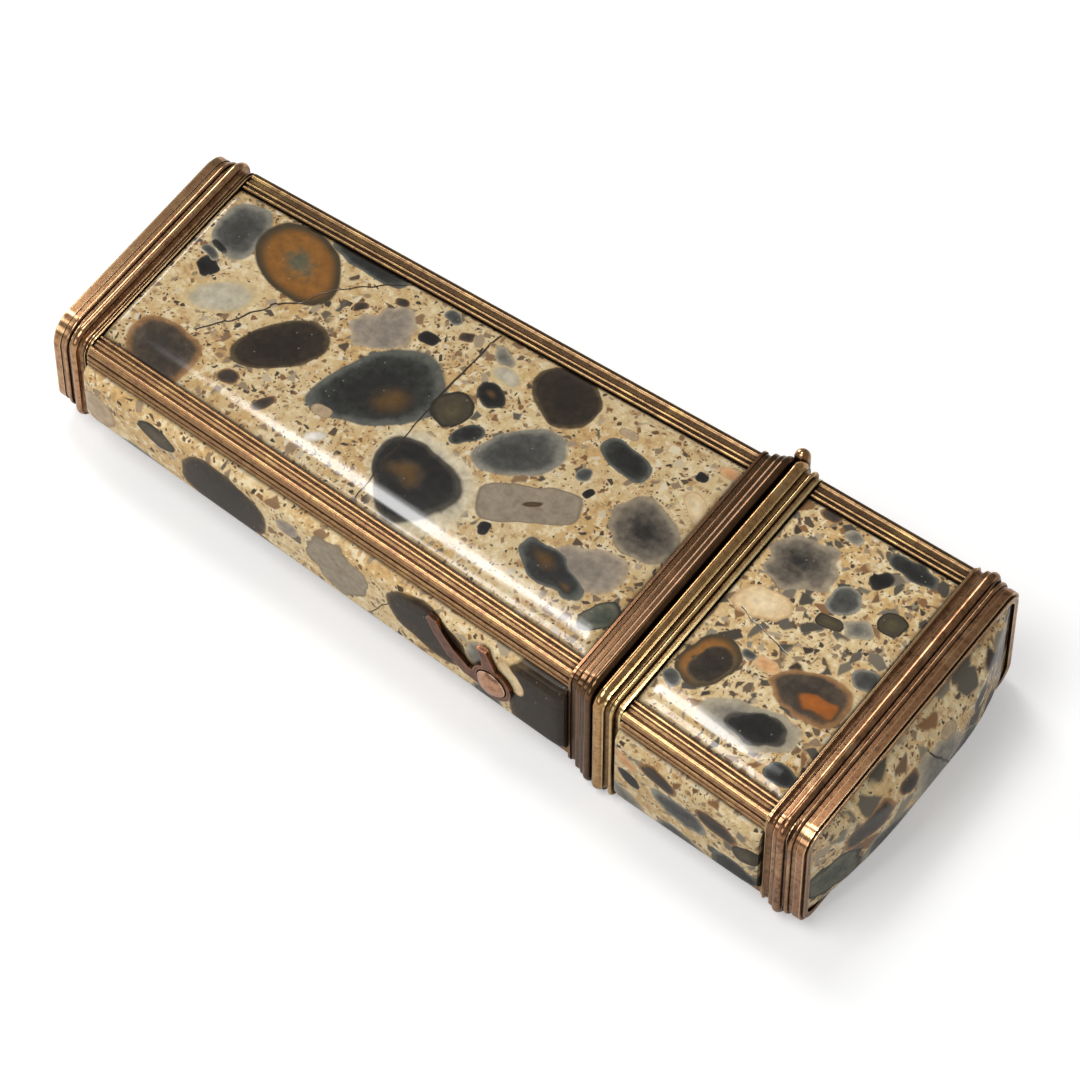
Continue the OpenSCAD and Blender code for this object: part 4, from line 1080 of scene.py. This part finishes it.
@dataclass
class StoneCase:
    """The stones, strips, rims and bands of the body and the lid."""

    workshop: Workshop
    smooth_angle: float = 35.0

    def build(self) -> None:
        """Polish every stone and every piece of gilt work that shows."""
        stones = {
            "body_front_stone": BODY_FRONT, "body_button_stone": BODY_SIDE, "body_back_stone": BODY_BACK,
            "body_hinge_stone": BODY_FAR_SIDE, "base_stone": BASE_END, "lid_front_stone": LID_FRONT,
            "lid_button_stone": LID_SIDE, "lid_back_stone": LID_BACK, "lid_hinge_stone": LID_FAR_SIDE,
            "lid_end_stone": LID_END,
        }
        frames = {"body_rim": BODY_RIM_GILT, "lid_rim": LID_RIM_GILT, "base_band": BAND_GILT,
                  "lid_end_band": END_BAND_GILT}
        for half in ("body", "lid"):
            for face in ("front", "back"):
                for side in ("button", "hinge"):
                    frames[f"{half}_strip_{face}_{side}"] = STRIP_GILT if side == "button" else SHADED_FAR_STRIP_GILT
        for node, finish in {**stones, **frames}.items():
            self.workshop.polish(node, finish, self.smooth_angle)
        LOG.info("%d stones and %d pieces of gilt work polished", len(stones), len(frames))


@dataclass
class Fittings:
    """The hinge, the catch, the linings and the collar."""

    workshop: Workshop

    def build(self) -> None:
        """Polish the fittings that show and dress the others."""
        polished = {
            "body_knuckles": BODY_RIM_GILT, "lid_knuckles": LID_RIM_GILT, "hinge_pin": BAND_GILT,
            "button_mount": MOUNT_GILT, "push_button": BUTTON_GILT,
        }
        for node, finish in polished.items():
            self.workshop.polish(node, finish)
        for node in ("body_lining", "lid_lining", "mouth_collar", "spring_bracket"):
            self.workshop.dress(node, LINING_METAL)
        self.workshop.dress("catch_spring", STEEL)
        LOG.info("fittings dressed")


@dataclass
class ToolSet:
    """The tools and the block that holds them."""

    workshop: Workshop

    def build(self) -> None:
        """Polish the tools and dress the block."""
        finishes = {
            "knife_handle": IVORY, "stiletto_handle": IVORY, "knife_blade": STEEL, "stiletto_spike": STEEL,
            "bodkin": STEEL, "tweezers": STEEL,
        }
        for node, finish in finishes.items():
            self.workshop.polish(node, finish)
        self.workshop.dress("tool_block", CEDAR)
        LOG.info("%d pieces of the tools polished", len(finishes))


@dataclass
class Lamp:
    """A softbox: its place, its size and its power. One with a spin is oval, lies level and faces down."""

    name: str
    place: tuple[float, float, float]
    size: tuple[float, float]
    power: float
    spin: float | None = None

    def build(self) -> bpy.types.Object:
        """Build the lamp, aimed at the case.

        Returns:
            The lamp.
        """
        light = bpy.data.lights.new(self.name, "AREA")
        light.shape = "RECTANGLE" if self.spin is None else "ELLIPSE"
        light.size, light.size_y = self.size
        light.energy = self.power
        lamp = bpy.data.objects.new(self.name, light)
        bpy.context.scene.collection.objects.link(lamp)
        lamp.location = self.place
        if self.spin is None:
            lamp.rotation_euler = (-Vector(self.place)).to_track_quat("-Z", "Y").to_euler()
        else:
            lamp.rotation_euler = (0.0, 0.0, math.radians(self.spin))
        return lamp


@dataclass
class Studio:
    """A pale floor, plain soft light and a camera at the photograph's viewing angle."""

    camera_place: tuple[float, float, float] = (0.1924, -0.2566, 0.5113)
    azimuth: float = 36.63
    elevation: float = 57.66
    lens: float = 200.06
    sensor: float = 36.0
    floor_size: float = 3.0
    sky: float = 0.25

    def build(self) -> None:
        """Build the floor, the light and the camera."""
        self.build_floor()
        self.build_light()
        self.build_camera()
        bpy.context.scene.view_settings.view_transform = "Standard"
        LOG.info("studio ready")

    def build_floor(self) -> None:
        """Build the floor, which looks white to the camera and keeps the shadow."""
        bpy.ops.object.select_all(action="DESELECT")
        bpy.ops.mesh.primitive_plane_add(size=self.floor_size, location=(0, 0, -0.01 * MM))
        floor = bpy.context.object
        floor.name = "floor"
        material, graph, shader = new_material("pale_floor")
        paper = graph.noise(graph.place_mm(), 0.05, 2.0).outputs[0]
        graph.feed(shader.inputs["Base Color"], graph.blend(paper, tone(230, 230, 229), tone(234, 234, 234)))
        shader.inputs["Roughness"].default_value = 0.9
        shader.inputs["Specular IOR Level"].default_value = 0.0
        shader.inputs["Emission Color"].default_value = (1.0, 1.0, 1.0, 1.0)
        path = graph.add("ShaderNodeLightPath")
        graph.feed(shader.inputs["Emission Strength"], graph.maths("MULTIPLY", path.outputs["Is Camera Ray"], 0.35))
        floor.data.materials.append(material)
        floor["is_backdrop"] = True

    def build_light(self) -> None:
        """Build the softboxes and the even light of the room."""
        world = bpy.data.worlds.new("room")
        world.use_nodes = True
        background = world.node_tree.nodes["Background"]
        background.inputs["Color"].default_value = (1.0, 1.0, 1.0, 1.0)
        background.inputs["Strength"].default_value = self.sky
        bpy.context.scene.world = world
        Lamp("body_key", (-0.256, 0.138, 0.6), (0.138, 0.132), 0.38, 0.0).build()
        Lamp("lid_key", (-0.146, 0.124, 0.601), (0.082, 0.15), 0.27, 20.0).build()
        Lamp("key_diffuser", (-0.215, 0.142, 0.602), (0.27, 0.2), 0.4, 0.0).build()
        Lamp("fill_softbox", (-0.1, -0.24, 0.6), (0.36, 0.3), 1.9).build()
        Lamp("front_softbox", (-0.16, -0.66, 0.3), (0.5, 0.24), 0.65).build()
        Lamp("left_softbox", (-0.78, 0.386, 0.22), (0.32, 0.36), 2.2).build()

    def build_camera(self) -> None:
        """Build the camera where the photograph was taken from."""
        turn, climb = math.radians(self.azimuth), math.radians(self.elevation)
        right = Vector((math.cos(turn), math.sin(turn), 0.0))
        back = Vector((math.sin(turn) * math.cos(climb), -math.cos(turn) * math.cos(climb), math.sin(climb)))
        up = back.cross(right)
        data = bpy.data.cameras.new("studio_camera")
        data.lens, data.sensor_width = self.lens, self.sensor
        data.clip_start, data.clip_end = 0.01, 10.0
        camera = bpy.data.objects.new("studio_camera", data)
        bpy.context.scene.collection.objects.link(camera)
        place = Vector(self.camera_place)
        camera.matrix_world = Matrix((
            (right.x, up.x, back.x, place.x), (right.y, up.y, back.y, place.y),
            (right.z, up.z, back.z, place.z), (0.0, 0.0, 0.0, 1.0)))
        bpy.context.scene.camera = camera


def main() -> None:
    """Build the looks in order."""
    logging.basicConfig(level=logging.INFO, format="%(name)s: %(message)s")
    workshop = Workshop()
    StoneCase(workshop).build()
    Fittings(workshop).build()
    ToolSet(workshop).build()
    Studio().build()


if __name__ == "__main__":
    main()
